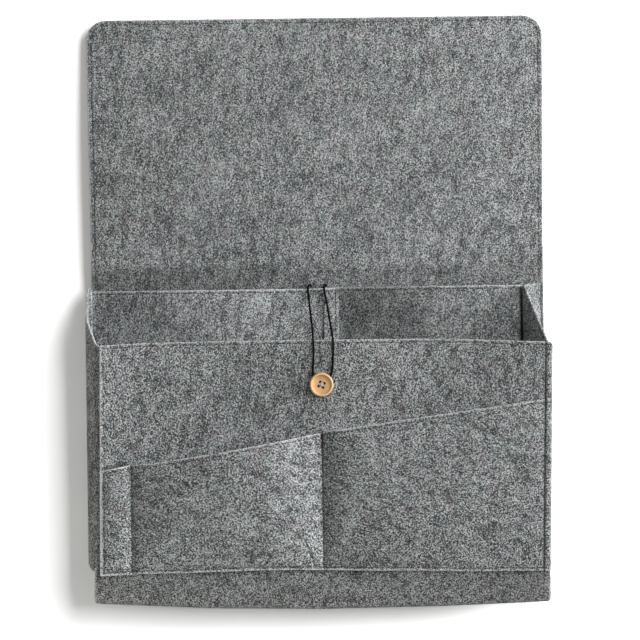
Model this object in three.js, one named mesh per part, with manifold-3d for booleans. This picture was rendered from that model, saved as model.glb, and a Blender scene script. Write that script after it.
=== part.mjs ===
import * as THREE from "three";
import { mergeVertices } from "three/addons/utils/BufferGeometryUtils.js";
import Module from "manifold-3d";

const wasm = await Module();
wasm.setup();
const { Manifold, Mesh } = wasm;

// Felt sofa organizer, upright: X to the right, Z up, the front faces -Y.
// The origin is the centre of the back panel's rear face. All sizes in millimetres.

// Felt and seams
const felt = 2;
const seat = 0.3;
const seamInset = 4;
const seamLip = 2.3;

// Back panel and flap, one felt piece with a pressed crease between them
const panelWidth = 384;
const backHeight = 265;
const backCornerRadius = 7;
const flapHeight = 204;
const flapCornerRadius = 17;
const creaseTip = 0.2;
const creaseGap = 0.3;
const creaseHalfAngle = THREE.MathUtils.degToRad(25);

// Box
const pocketBackHeight = 240;
const frontWidth = panelWidth - 5;
const frontHeight = 194;
const frontShift = 4;
const boxDepth = 47;
const bottomDrop = 27;
const rightFoldInset = 14;
const leftBulge = 3;

// Divider
const dividerX = frontShift;
const dividerRearFlange = 14;
const dividerFrontFlange = 12;
const dividerBelowFront = 8;

// Pocket sheet: heights of its sloped top edge and the widths and bulges of its three compartments
const pocketTopLeft = 87.5;
const pocketTopMiddle = 117.5;
const pocketTopRight = 142.5;
const pocketInset = 0.3;
const penWidth = 23;
const penBulge = 6.5;
const phoneBulge = 11.5;
const wideBulge = 10;

// Button and elastic
const buttonDiameter = 20;
const buttonThickness = 4;
const buttonStandoff = 3.5;
const buttonX = frontShift - 1.5;
const buttonBelowTop = 36;
const holeCircle = 2.6;
const holeRadius = 0.9;
const holeTurn = THREE.MathUtils.degToRad(25);
const threadRadius = 0.5;
const shankRadius = 1.6;
const cordDiameter = 1.8;

// Planes that follow from the sizes
const creaseZ = backHeight / 2;
const bottomZ = -backHeight / 2;
const pocketBackRear = -(felt + seat);
const pocketBackFace = pocketBackRear - felt;
const pocketBackTop = bottomZ + pocketBackHeight;
const rearFlangeY = pocketBackFace - seat - felt / 2;
const frontRear = -boxDepth;
const frontFace = frontRear - felt;
const frontFlangeY = frontRear + seat + felt / 2;
const frontTop = bottomZ + frontHeight;
const frontLeft = frontShift - frontWidth / 2;
const frontRight = frontShift + frontWidth / 2;
const foldY = (rearFlangeY + frontFlangeY) / 2;
const layer = felt + seat;
const gussetTop = pocketBackTop + 2;
const bottomHookTop = bottomZ + seamInset + 1 + felt / 2;
const buttonRear = frontFace - buttonStandoff;
const buttonZ = frontTop - buttonBelowTop;

const feltGrey = 0x7c7e7e;

function toSolid(geometry) {
  const bare = new THREE.BufferGeometry();
  const flat = geometry.index ? geometry.toNonIndexed() : geometry;
  bare.setAttribute("position", flat.getAttribute("position"));
  const merged = mergeVertices(bare, 1e-4);
  return new Manifold(
    new Mesh({
      numProp: 3,
      vertProperties: merged.attributes.position.array,
      triVerts: new Uint32Array(merged.index.array),
    }),
  );
}

function toGeometry(solid) {
  const mesh = solid.getMesh();
  const geometry = new THREE.BufferGeometry();
  const positions = new Float32Array(mesh.numVert * 3);
  for (let i = 0; i < mesh.numVert; i += 1) {
    for (let k = 0; k < 3; k += 1) {
      positions[i * 3 + k] = mesh.vertProperties[i * mesh.numProp + k];
    }
  }
  geometry.setAttribute("position", new THREE.BufferAttribute(positions, 3));
  geometry.setIndex(new THREE.BufferAttribute(new Uint32Array(mesh.triVerts), 1));
  const flat = geometry.toNonIndexed();
  flat.computeVertexNormals();
  return flat;
}

function boxSolid(x0, x1, y0, y1, z0, z1) {
  const geometry = new THREE.BoxGeometry(x1 - x0, y1 - y0, z1 - z0);
  geometry.translate((x0 + x1) / 2, (y0 + y1) / 2, (z0 + z1) / 2);
  return toSolid(geometry);
}

// A rectangle in the XZ plane with its own radius at the top and bottom corners.
function panelShape(x0, x1, z0, z1, topRadius, bottomRadius) {
  const shape = new THREE.Shape();
  shape.moveTo(x0 + bottomRadius, z0);
  shape.lineTo(x1 - bottomRadius, z0);
  if (bottomRadius > 0) {
    shape.absarc(x1 - bottomRadius, z0 + bottomRadius, bottomRadius, -Math.PI / 2, 0, false);
  }
  shape.lineTo(x1, z1 - topRadius);
  if (topRadius > 0) {
    shape.absarc(x1 - topRadius, z1 - topRadius, topRadius, 0, Math.PI / 2, false);
  }
  shape.lineTo(x0 + topRadius, z1);
  if (topRadius > 0) {
    shape.absarc(x0 + topRadius, z1 - topRadius, topRadius, Math.PI / 2, Math.PI, false);
  }
  shape.lineTo(x0, z0 + bottomRadius);
  if (bottomRadius > 0) {
    shape.absarc(x0 + bottomRadius, z0 + bottomRadius, bottomRadius, Math.PI, Math.PI * 1.5, false);
  }
  return shape;
}

// A flat felt plate: the shape lies in XZ and grows from yRear towards the front.
function plateSolid(shape, yRear, thickness) {
  const geometry = new THREE.ExtrudeGeometry(shape, {
    depth: thickness,
    bevelEnabled: false,
    curveSegments: 8,
  });
  geometry.rotateX(Math.PI / 2);
  geometry.translate(0, yRear, 0);
  return toSolid(geometry);
}

// The outline of a strip of even thickness that follows a centre line.
function stripShape(points, thickness) {
  const half = thickness / 2;
  const left = [];
  const right = [];
  const count = points.length;
  for (let i = 0; i < count; i += 1) {
    const here = new THREE.Vector2(...points[i]);
    const before = new THREE.Vector2(...points[Math.max(i - 1, 0)]);
    const after = new THREE.Vector2(...points[Math.min(i + 1, count - 1)]);
    const into = i > 0 ? here.clone().sub(before).normalize() : after.clone().sub(here).normalize();
    const out = i < count - 1 ? after.clone().sub(here).normalize() : into.clone();
    const normalIn = new THREE.Vector2(-into.y, into.x);
    const normalOut = new THREE.Vector2(-out.y, out.x);
    const mitre = normalIn.clone().add(normalOut).normalize();
    const reach = half / Math.max(mitre.dot(normalIn), 0.4);
    left.push(here.clone().addScaledVector(mitre, reach));
    right.push(here.clone().addScaledVector(mitre, -reach));
  }
  return new THREE.Shape([...left, ...right.reverse()]);
}

function extrudeAlongZ(shape, z0, z1) {
  const geometry = new THREE.ExtrudeGeometry(shape, { depth: z1 - z0, bevelEnabled: false });
  geometry.translate(0, 0, z0);
  return toSolid(geometry);
}

// A profile drawn in (Y, Z) and extruded along X.
function extrudeAlongX(shape, x0, x1) {
  const geometry = new THREE.ExtrudeGeometry(shape, { depth: x1 - x0, bevelEnabled: false });
  const turn = new THREE.Matrix4().makeBasis(
    new THREE.Vector3(0, 1, 0),
    new THREE.Vector3(0, 0, 1),
    new THREE.Vector3(1, 0, 0),
  );
  geometry.applyMatrix4(turn);
  geometry.translate(x0, 0, 0);
  return toSolid(geometry);
}

function polygon(points) {
  return new THREE.Shape(points.map(([a, b]) => new THREE.Vector2(a, b)));
}

const group = new THREE.Group();
group.name = "felt_sofa_organizer";

function addPiece(name, geometry, color, roughness, metalness) {
  const material = new THREE.MeshStandardMaterial({ color, roughness, metalness });
  const mesh = new THREE.Mesh(geometry, material);
  mesh.name = name;
  group.add(mesh);
}

function addFelt(name, solid) {
  addPiece(name, toGeometry(solid), feltGrey, 0.95, 0);
}

// Back panel and flap: the felt is pressed thin towards the crease from both faces.
const taper = (felt / 2 - creaseTip / 2) / Math.tan(creaseHalfAngle);
const half = panelWidth / 2;
const creaseMid = -felt / 2;
const backSection = polygon([
  [creaseMid + creaseTip / 2, creaseZ - creaseGap],
  [creaseMid - creaseTip / 2, creaseZ - creaseGap],
  [-felt, creaseZ - creaseGap - taper],
  [-felt, bottomZ - 1],
  [0, bottomZ - 1],
  [0, creaseZ - creaseGap - taper],
]);
const backOutline = panelShape(-half, half, bottomZ, creaseZ, 0, backCornerRadius);
addFelt(
  "back_panel",
  Manifold.intersection(
    extrudeAlongX(backSection, -half - 1, half + 1),
    plateSolid(backOutline, 1, felt + 2),
  ),
);

const flapTop = creaseZ + flapHeight;
const flapSection = polygon([
  [creaseMid - creaseTip / 2, creaseZ + creaseGap],
  [creaseMid + creaseTip / 2, creaseZ + creaseGap],
  [0, creaseZ + creaseGap + taper],
  [0, flapTop + 1],
  [-felt, flapTop + 1],
  [-felt, creaseZ + creaseGap + taper],
]);
const flapOutline = panelShape(-half, half, creaseZ, flapTop, flapCornerRadius, 0);
addFelt(
  "flap",
  Manifold.intersection(
    extrudeAlongX(flapSection, -half - 1, half + 1),
    plateSolid(flapOutline, 1, felt + 2),
  ),
);

// Inner back layer of the box
addFelt(
  "pocket_back",
  plateSolid(
    panelShape(-half, half, bottomZ, pocketBackTop, 1, backCornerRadius),
    pocketBackRear,
    felt,
  ),
);

// Side gussets: strips sewn with their raw edges outwards, cut on a slope towards the front
const slopeCut = extrudeAlongX(
  polygon([
    [foldY, gussetTop],
    [foldY, gussetTop + 20],
    [frontFace - 10, gussetTop + 20],
    [frontFace - 10, frontTop],
    [frontFlangeY + felt, frontTop],
  ]),
  -panelWidth,
  panelWidth,
);
const cornerCut = boxSolid(
  frontLeft - seamLip - seat,
  panelWidth,
  frontFace - 10,
  0,
  bottomZ - 10,
  bottomHookTop + seat,
);
const seamX = half - seamInset;
const edgeX = half - 0.5;
const rightLine = [
  [edgeX, rearFlangeY],
  [seamX, rearFlangeY],
  [seamX - rightFoldInset, foldY],
  [frontRight - seamInset, frontFlangeY],
  [frontRight + seamLip, frontFlangeY],
];
const wallSpan = frontFlangeY - rearFlangeY;
const leftLine = [
  [-edgeX, rearFlangeY],
  [-seamX, rearFlangeY],
  [-seamX, rearFlangeY - layer],
  [-half - leftBulge * 0.6, rearFlangeY + wallSpan * 0.24],
  [-half - leftBulge, foldY],
  [-half - leftBulge * 0.35, rearFlangeY + wallSpan * 0.78],
  [frontLeft + seamInset, frontFlangeY + layer],
  [frontLeft + seamInset, frontFlangeY],
  [frontLeft - seamLip, frontFlangeY],
];
function sideGusset(line) {
  const whole = extrudeAlongZ(stripShape(line, felt), bottomZ, gussetTop);
  return whole.subtract(slopeCut).subtract(cornerCut);
}
addFelt("left_gusset", sideGusset(leftLine));
addFelt("right_gusset", sideGusset(rightLine));

// Bottom gusset: hangs below the seams in a blunt fold
const hookZ = bottomHookTop - felt / 2;
const bottomLine = [
  [rearFlangeY, bottomZ],
  [rearFlangeY, hookZ],
  [rearFlangeY - layer, hookZ],
  [rearFlangeY - layer - 0.5, bottomZ - 3],
  [foldY + 2.5, bottomZ - bottomDrop],
  [foldY - 2.5, bottomZ - bottomDrop],
  [frontFlangeY + layer + 0.5, bottomZ - 3],
  [frontFlangeY + layer, hookZ],
  [frontFlangeY, hookZ],
  [frontFlangeY, bottomZ],
];
addFelt(
  "bottom_gusset",
  extrudeAlongX(stripShape(bottomLine, felt), frontLeft - seamLip, frontRight + seamLip),
);

// Divider between the two large compartments: a wall with a flange at each end
const dividerLine = [
  [dividerX + dividerRearFlange, rearFlangeY],
  [dividerX, rearFlangeY],
  [dividerX, frontFlangeY],
  [dividerX - dividerFrontFlange, frontFlangeY],
];
const dividerWhole = extrudeAlongZ(
  stripShape(dividerLine, felt),
  bottomHookTop + seat,
  pocketBackTop - seamInset,
);
const dividerCut = boxSolid(
  dividerX - 40,
  dividerX + 40,
  frontFace,
  rearFlangeY - felt / 2,
  frontTop - dividerBelowFront,
  gussetTop + 10,
);
addFelt("center_divider", dividerWhole.subtract(dividerCut));

// Front of the box
addFelt(
  "front_panel",
  plateSolid(panelShape(frontLeft, frontRight, bottomZ, frontTop, 1, 1), frontRear, felt),
);

// Pocket sheet: flat along its seams, standing off between them, most at the mouth
const pocketLeft = frontLeft + pocketInset;
const pocketRight = frontRight - pocketInset;
const pocketSeams = [
  pocketLeft + seamInset,
  pocketLeft + seamInset + penWidth,
  buttonX,
  pocketRight - seamInset,
];
const pocketBulges = [penBulge, phoneBulge, wideBulge];
function bulgeAcross(x) {
  for (let i = 0; i < pocketBulges.length; i += 1) {
    const share = (x - pocketSeams[i]) / (pocketSeams[i + 1] - pocketSeams[i]);
    if (share > 0 && share < 1) {
      return pocketBulges[i] * Math.pow(Math.sin(Math.PI * share), 0.7);
    }
  }
  return 0;
}
function pocketTop(x) {
  const middle = pocketSeams[2];
  if (x < middle) {
    const share = (x - pocketLeft) / (middle - pocketLeft);
    return bottomZ + pocketTopLeft + (pocketTopMiddle - pocketTopLeft) * share;
  }
  const share = (x - middle) / (pocketRight - middle);
  return bottomZ + pocketTopMiddle + (pocketTopRight - pocketTopMiddle) * share;
}
const pocketColumns = [pocketLeft];
const columnSteps = [6, 9, 9];
for (let i = 0; i < columnSteps.length; i += 1) {
  for (let k = 0; k < columnSteps[i]; k += 1) {
    const share = k / columnSteps[i];
    pocketColumns.push(pocketSeams[i] + (pocketSeams[i + 1] - pocketSeams[i]) * share);
  }
}
pocketColumns.push(pocketSeams[3], pocketRight);
const pocketRows = [0, 0.05, 0.14, 0.28, 0.45, 0.65, 0.82, 1];
function pocketPoint(x, row, outer) {
  const top = pocketTop(x);
  const rise = THREE.MathUtils.smoothstep(row, 0.05, 0.7);
  const y = frontFace - seat - bulgeAcross(x) * rise - (outer ? felt : 0);
  return [x, y, bottomZ + (top - bottomZ) * row];
}
function sheetGeometry(columns, rows, point) {
  const positions = [];
  const index = [];
  const wide = columns.length;
  const tall = rows.length;
  for (const outer of [true, false]) {
    for (const row of rows) {
      for (const x of columns) {
        positions.push(...point(x, row, outer));
      }
    }
  }
  const at = (i, k, outer) => (outer ? 0 : wide * tall) + k * wide + i;
  const quad = (a, b, c, d) => {
    index.push(a, b, c, a, c, d);
  };
  for (let k = 0; k < tall - 1; k += 1) {
    for (let i = 0; i < wide - 1; i += 1) {
      quad(at(i, k, true), at(i + 1, k, true), at(i + 1, k + 1, true), at(i, k + 1, true));
      quad(at(i, k, false), at(i, k + 1, false), at(i + 1, k + 1, false), at(i + 1, k, false));
    }
  }
  for (let i = 0; i < wide - 1; i += 1) {
    const last = tall - 1;
    quad(at(i, 0, true), at(i, 0, false), at(i + 1, 0, false), at(i + 1, 0, true));
    quad(at(i, last, true), at(i + 1, last, true), at(i + 1, last, false), at(i, last, false));
  }
  for (let k = 0; k < tall - 1; k += 1) {
    const last = wide - 1;
    quad(at(0, k, true), at(0, k + 1, true), at(0, k + 1, false), at(0, k, false));
    quad(at(last, k, true), at(last, k, false), at(last, k + 1, false), at(last, k + 1, true));
  }
  const geometry = new THREE.BufferGeometry();
  geometry.setAttribute("position", new THREE.Float32BufferAttribute(positions, 3));
  geometry.setIndex(index);
  const flat = geometry.toNonIndexed();
  flat.computeVertexNormals();
  return flat;
}
addPiece(
  "front_pocket_sheet",
  sheetGeometry(pocketColumns, pocketRows, pocketPoint),
  feltGrey,
  0.95,
  0,
);

// Wooden button: turned with a raised rim, four holes
const buttonRadius = buttonDiameter / 2;
const buttonProfile = [
  [0, 0],
  [buttonRadius * 0.92, 0],
  [buttonRadius, buttonThickness * 0.22],
  [buttonRadius, buttonThickness * 0.75],
  [buttonRadius * 0.94, buttonThickness * 0.95],
  [buttonRadius * 0.84, buttonThickness],
  [buttonRadius * 0.74, buttonThickness * 0.92],
  [buttonRadius * 0.66, buttonThickness * 0.72],
  [0, buttonThickness * 0.65],
].map(([r, h]) => new THREE.Vector2(r, h));
const holeAngles = [0, 1, 2, 3].map((k) => holeTurn + (k * Math.PI) / 2);

// Lathe axis +Y turned to face the front, so heights grow towards -Y.
function faceFront(geometry) {
  geometry.rotateX(Math.PI);
  geometry.translate(buttonX, buttonRear, buttonZ);
  return toSolid(geometry);
}
function rod(radius, h0, h1, x, z, sides) {
  const geometry = new THREE.CylinderGeometry(radius, radius, h1 - h0, sides);
  geometry.translate(x, (h0 + h1) / 2, z);
  return faceFront(geometry);
}
const holes = holeAngles.map((a) =>
  rod(holeRadius, -1, buttonThickness + 1, holeCircle * Math.cos(a), -holeCircle * Math.sin(a), 14),
);
const turned = faceFront(new THREE.LatheGeometry(buttonProfile, 40));
addPiece(
  "wooden_button",
  toGeometry(turned.subtract(Manifold.union(holes))),
  0xc49a6c,
  0.55,
  0,
);

// Button thread: a cross on the face, four legs through the holes and the shank behind
const dish = buttonThickness * 0.7;
const barLow = dish + seat;
const barHigh = barLow + threadRadius * 1.6;
const legs = holeAngles.map((a) =>
  rod(
    threadRadius,
    -seat - 0.4,
    barHigh - 0.1,
    holeCircle * Math.cos(a),
    -holeCircle * Math.sin(a),
    10,
  ),
);
const bars = [0, 1].map((k) => {
  const length = (holeCircle + threadRadius) * 2;
  const geometry = new THREE.BoxGeometry(length, barHigh - barLow, threadRadius * 1.8);
  geometry.rotateY(holeTurn + (k * Math.PI) / 2);
  geometry.translate(0, (barLow + barHigh) / 2, 0);
  return faceFront(geometry);
});
const spread = rod(holeCircle + threadRadius, -seat - 0.6, -seat, 0, 0, 24);
const shank = rod(shankRadius, -buttonStandoff + seat, -seat - 0.3, 0, 0, 20);
addPiece(
  "button_thread",
  toGeometry(Manifold.union([...legs, ...bars, spread, shank])),
  0xe4dccb,
  0.8,
  0,
);

// Elastic loop: both ends dive into the slit at the top of the inner back layer
const cordRadius = cordDiameter / 2;
const onFront = frontFace - seat * 1.5 - cordRadius;
const overEdge = pocketBackTop;
const ring = shankRadius + seat * 2 + cordRadius;
const slitY = pocketBackRear - felt / 2 - 0.1;
const cordPoints = [
  [-5.1, slitY, overEdge + 0.4],
  [-5.3, slitY - 0.1, overEdge + 1.9],
  [-6.5, slitY - 1.5, overEdge + 2.9],
  [-7.7, slitY - 3.2, overEdge + 1.2],
  [-8.0, slitY - 4.4, overEdge - 1.6],
  [-6.9, slitY * 0.7 + frontFace * 0.3, overEdge * 0.7 + frontTop * 0.3],
  [-5.0, slitY * 0.3 + frontFace * 0.7, overEdge * 0.3 + frontTop * 0.7 + 0.8],
  [-4.1, frontFace - 0.6, frontTop + 2],
  [-4.0, onFront - 0.3, frontTop - 2],
  [-4.0, onFront, frontTop - 14],
  [-4.4, onFront, buttonZ + 8.5],
  [buttonX - ring - 1.2, onFront, buttonZ + 2.4],
  [buttonX - ring * 0.8, onFront, buttonZ - ring * 0.6],
  [buttonX, onFront, buttonZ - ring],
  [buttonX + ring * 0.8, onFront, buttonZ - ring * 0.6],
  [buttonX + ring + 1.2, onFront, buttonZ + 2.4],
  [10.6, onFront, buttonZ + 8],
  [12.4, onFront, frontTop - 14],
  [12.7, onFront - 0.3, frontTop - 2],
  [12.5, frontFace - 0.6, frontTop + 2],
  [10.7, slitY * 0.3 + frontFace * 0.7, overEdge * 0.3 + frontTop * 0.7 + 0.8],
  [7.9, slitY * 0.7 + frontFace * 0.3, overEdge * 0.7 + frontTop * 0.3],
  [5.7, slitY - 4.4, overEdge - 1.6],
  [5.9, slitY - 3.2, overEdge + 1.2],
  [6.6, slitY - 1.5, overEdge + 2.9],
  [7.6, slitY - 0.1, overEdge + 1.9],
  [7.8, slitY, overEdge + 0.4],
].map((p) => new THREE.Vector3(...p));
const cordCurve = new THREE.CatmullRomCurve3(cordPoints, false, "centripetal");
const cordShape = new THREE.Shape();
cordShape.absarc(0, 0, cordRadius, 0, Math.PI * 2, false);
addPiece(
  "elastic_loop",
  new THREE.ExtrudeGeometry(cordShape, {
    steps: 80,
    curveSegments: 4,
    bevelEnabled: false,
    extrudePath: cordCurve,
  }),
  0x17181a,
  0.7,
  0,
);

export default group;
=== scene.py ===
import math

import bpy
import numpy as np
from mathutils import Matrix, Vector, noise


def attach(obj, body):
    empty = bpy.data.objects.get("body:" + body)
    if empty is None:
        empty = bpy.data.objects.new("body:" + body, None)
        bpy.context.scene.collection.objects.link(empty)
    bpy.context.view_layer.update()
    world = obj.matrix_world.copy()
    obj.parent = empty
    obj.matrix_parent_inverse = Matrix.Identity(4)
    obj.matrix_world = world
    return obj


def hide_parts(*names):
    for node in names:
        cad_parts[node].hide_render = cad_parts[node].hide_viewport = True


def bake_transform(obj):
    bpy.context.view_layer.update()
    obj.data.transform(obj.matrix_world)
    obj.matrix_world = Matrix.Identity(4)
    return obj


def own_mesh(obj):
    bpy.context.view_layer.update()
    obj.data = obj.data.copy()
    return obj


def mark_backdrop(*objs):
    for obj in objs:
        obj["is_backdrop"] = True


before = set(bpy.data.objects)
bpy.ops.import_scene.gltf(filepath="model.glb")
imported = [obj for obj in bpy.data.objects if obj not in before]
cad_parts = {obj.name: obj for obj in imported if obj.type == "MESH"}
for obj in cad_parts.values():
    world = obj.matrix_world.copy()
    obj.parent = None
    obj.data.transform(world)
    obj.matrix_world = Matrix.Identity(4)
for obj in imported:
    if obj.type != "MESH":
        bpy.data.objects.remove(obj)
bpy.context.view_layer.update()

mm = 0.001
feltThick = 2.0
scene = bpy.context.scene

# heights and planes shared by the pieces, in millimetres, as packed
plan = {
    "creaseZ": 132.5,
    "bottomZ": -132.5,
    "flapTop": 336.5,
    "backMid": -1.0,
    "pocketBackMid": -3.3,
    "pocketBackTop": 107.5,
    "rearFlange": -5.6,
    "frontMid": -48.0,
    "frontTop": 61.5,
    "frontFlange": -45.7,
    "pocketMid": -50.3,
    "foldY": -25.65,
    "buttonX": 2.5,
    "buttonZ": 25.5,
}


# camera
camera = {
    "place": (0.0019, -5.0, 0.0799),
    "lens": 331.0,
    "sensor": 36.0,
    "rollDegrees": 0.75,
    "farthest": 60.0,
}
camData = bpy.data.cameras.new("productCamera")
camData.sensor_width = camera["sensor"]
camData.lens = camera["lens"]
camData.clip_end = camera["farthest"]
camObject = bpy.data.objects.new("productCamera", camData)
camObject.location = camera["place"]
camObject.rotation_euler = (math.radians(90), math.radians(camera["rollDegrees"]), 0)
scene.collection.objects.link(camObject)
scene.camera = camObject
scene.view_settings.view_transform = "Standard"


# small helpers
def smooth(low, high, value):
    t = np.clip((np.asarray(value, float) - low) / (high - low), 0, 1)
    return t * t * (3 - 2 * t)


def between(start, stop, share):
    return start + (stop - start) * share


# uneven waves of a size and height, the same for each seed
def ripple(x, z, size, seed, height):
    x, z = np.broadcast_arrays(np.asarray(x, float), np.asarray(z, float))
    flat = [noise.noise(Vector((a / size, b / size, seed))) for a, b in zip(x.ravel(), z.ravel())]
    return height * np.array(flat).reshape(x.shape)


# how the grid of a sheet closes up at its cut edges and round each sewn line
gridSteps = {
    "edge": (0.3, 0.8, 1.8),
    "seam": (-2.2, -1.2, -0.6, 0, 0.6, 1.2, 2.2),
    "least": 0.18,
    "leastRow": 0.08,
}


# grid positions from start to stop
def gridLine(start, stop, coarse, marks=()):
    stops = {start, stop}
    for d in gridSteps["edge"]:
        stops.update((start + d, stop - d))
    for mark in marks:
        stops.update(mark + d for d in gridSteps["seam"])
    ordered = sorted(s for s in stops if start <= s <= stop)
    line = [start]
    for s in ordered[1:]:
        gap = s - line[-1]
        if gap < gridSteps["least"] and s != stop:
            continue
        count = max(1, math.ceil(gap / coarse))
        line += list(np.linspace(line[-1], s, count + 1)[1:])
    return np.array(line)


# rows of a sheet from grid lines and the extra rows of its round corners
def gridRows(line, extra, top):
    z = np.array(sorted(set(line) | set(extra)))
    z = z[np.concatenate([[True], np.diff(z) > gridSteps["leastRow"]])]
    z[-1] = top
    return z


# rows of a round corner, every few degrees; r is less than 0 for a corner at the bottom
def cornerRows(edge, r, degrees):
    return [edge - r + r * math.sin(math.radians(a)) for a in range(0, 90, degrees)]


# how far a round corner of radius r draws the edge in, at a distance past the corner's start
def roundedIn(r, past):
    past = np.clip(past, 0, r)
    return r - np.sqrt(np.maximum(r**2 - past**2, 0))


# the felt is thinner along its cut edge and paler there, partly from its cut fibres and partly as
# painted light where the edge catches the light
rim = {
    "width": 0.6,
    "leastShare": 0.8,
    "paleFrom": 0.4,
    "paleTo": 1.7,
    "sharpDegrees": 48,
}


# half the felt's thickness at a distance from the cut edge
def rimHalf(distance):
    d = np.clip(np.asarray(distance, float) / rim["width"], 0, 1)
    share = between(rim["leastShare"], 1, np.sqrt(1 - (1 - d) ** 2))
    return feltThick / 2 * share


def groove(distance, depth, width):
    return depth * np.exp(-((np.asarray(distance, float) / width) ** 2))


section = {
    "samples": 401,
    "overshoot": 0.04,
    "endPower": 0.12,
}


# a drawn section, distance shares and heights, with its corners softened
def softSection(shares, heights, blur):
    fine = np.linspace(0, 1, section["samples"])
    curve = np.interp(fine, shares, heights)
    kernel = np.hanning(2 * blur + 1)
    padded = np.concatenate([np.zeros(blur), curve, np.zeros(blur)])
    soft = np.convolve(padded, kernel / kernel.sum(), "valid")
    soft = np.minimum(soft, curve + section["overshoot"])
    return fine, soft * np.sin(np.pi * fine) ** section["endPower"]


def addObject(name, mesh):
    thing = bpy.data.objects.new(name, mesh)
    scene.collection.objects.link(thing)
    return thing


def shadeSmooth(mesh):
    mesh.polygons.foreach_set("use_smooth", np.ones(len(mesh.polygons), bool))


# a plain mesh of what the modifiers on an object make
def bakedMesh(thing):
    seen = bpy.context.evaluated_depsgraph_get()
    seen.update()
    return bpy.data.meshes.new_from_object(thing.evaluated_get(seen))


# a closed felt sheet round a middle surface of rows x columns x 3 in mm
# half is its half thickness, edge the distance from the cut edge
def feltMesh(name, middle, half, edge, tone=1.0, raw=1.0):
    across = np.gradient(middle, axis=1)
    along = np.gradient(middle, axis=0)
    normal = np.cross(across, along)
    normal /= np.maximum(np.linalg.norm(normal, axis=2, keepdims=True), 1e-9)
    rows, cols = middle.shape[:2]
    front = (middle + normal * half[..., None]).reshape(-1, 3)
    rear = (middle - normal * half[..., None]).reshape(-1, 3)
    at = np.arange(rows * cols).reshape(rows, cols)
    back = at + rows * cols
    a, b, c, d = at[:-1, :-1], at[:-1, 1:], at[1:, 1:], at[1:, :-1]
    quads = [np.stack([a, b, c, d], -1).reshape(-1, 4)]
    quads.append(np.stack([a, d, c, b], -1).reshape(-1, 4) + rows * cols)
    quads.append(np.stack([at[0, :-1], back[0, :-1], back[0, 1:], at[0, 1:]], -1))
    quads.append(np.stack([at[-1, :-1], at[-1, 1:], back[-1, 1:], back[-1, :-1]], -1))
    quads.append(np.stack([at[:-1, 0], at[1:, 0], back[1:, 0], back[:-1, 0]], -1))
    quads.append(np.stack([at[:-1, -1], back[:-1, -1], back[1:, -1], at[1:, -1]], -1))
    faces = np.vstack(quads)
    mesh = bpy.data.meshes.new(name)
    mesh.from_pydata((np.vstack([front, rear]) * mm).tolist(), [], faces.tolist())
    shadeSmooth(mesh)
    cut = raw * (1 - smooth(rim["paleFrom"], rim["paleTo"], edge))
    for label, level in (("rawEdge", cut), ("tone", np.broadcast_to(tone, cut.shape))):
        values = np.concatenate([level.ravel(), level.ravel()]).astype(np.float32)
        mesh.attributes.new(label, "FLOAT", "POINT").data.foreach_set("value", values)
    mesh.set_sharp_from_angle(angle=math.radians(rim["sharpDegrees"]))
    mesh.update()
    return addObject(name, mesh)


# materials
def newMaterial(name):
    material = bpy.data.materials.new(name)
    material.use_nodes = True
    tree = material.node_tree
    return material, tree, tree.nodes["Principled BSDF"]


def noiseNode(tree, source, turn, scale, detail, rough):
    place = tree.nodes.new("ShaderNodeMapping")
    place.vector_type = "TEXTURE"
    place.inputs["Rotation"].default_value = turn
    place.inputs["Scale"].default_value = [1 / s for s in np.broadcast_to(scale, 3)]
    tree.links.new(source, place.inputs["Vector"])
    grain = tree.nodes.new("ShaderNodeTexNoise")
    for label, value in (("Scale", 1.0), ("Detail", detail), ("Roughness", rough)):
        grain.inputs[label].default_value = value
    tree.links.new(place.outputs["Vector"], grain.inputs["Vector"])
    return grain.outputs["Fac"]


def mathNode(tree, operation, first, second, clamp=False):
    node = tree.nodes.new("ShaderNodeMath")
    node.operation = operation
    node.use_clamp = clamp
    for k, value in enumerate((first, second)):
        if isinstance(value, (int, float)):
            node.inputs[k].default_value = value
        else:
            tree.links.new(value, node.inputs[k])
    return node.outputs[0]


def sumNode(tree, values):
    total = values[0]
    for value in values[1:]:
        total = mathNode(tree, "ADD", total, value)
    return total


# stops are places and colours, from low to high
def rampNode(tree, value, stops):
    ramp = tree.nodes.new("ShaderNodeValToRGB")
    elements = ramp.color_ramp.elements
    elements[0].position = stops[0][0]
    elements[1].position = stops[-1][0]
    for place, colour in stops[1:-1]:
        elements.new(place)
    for element, (place, colour) in zip(elements, stops):
        element.color = (*colour, 1)
    tree.links.new(value, ramp.inputs["Fac"])
    return ramp.outputs["Color"]


def attributeNode(tree, label):
    node = tree.nodes.new("ShaderNodeAttribute")
    node.attribute_name = label
    return node.outputs["Fac"]


# bump is its strength and its depth in metres
def finishShader(tree, shader, look, height=None):
    for label, value in look["finish"].items():
        shader.inputs[label].default_value = value
    if height is not None:
        node = tree.nodes.new("ShaderNodeBump")
        node.inputs["Strength"].default_value, node.inputs["Distance"].default_value = look["bump"]
        tree.links.new(height, node.inputs["Height"])
        tree.links.new(node.outputs["Normal"], shader.inputs["Normal"])


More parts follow.
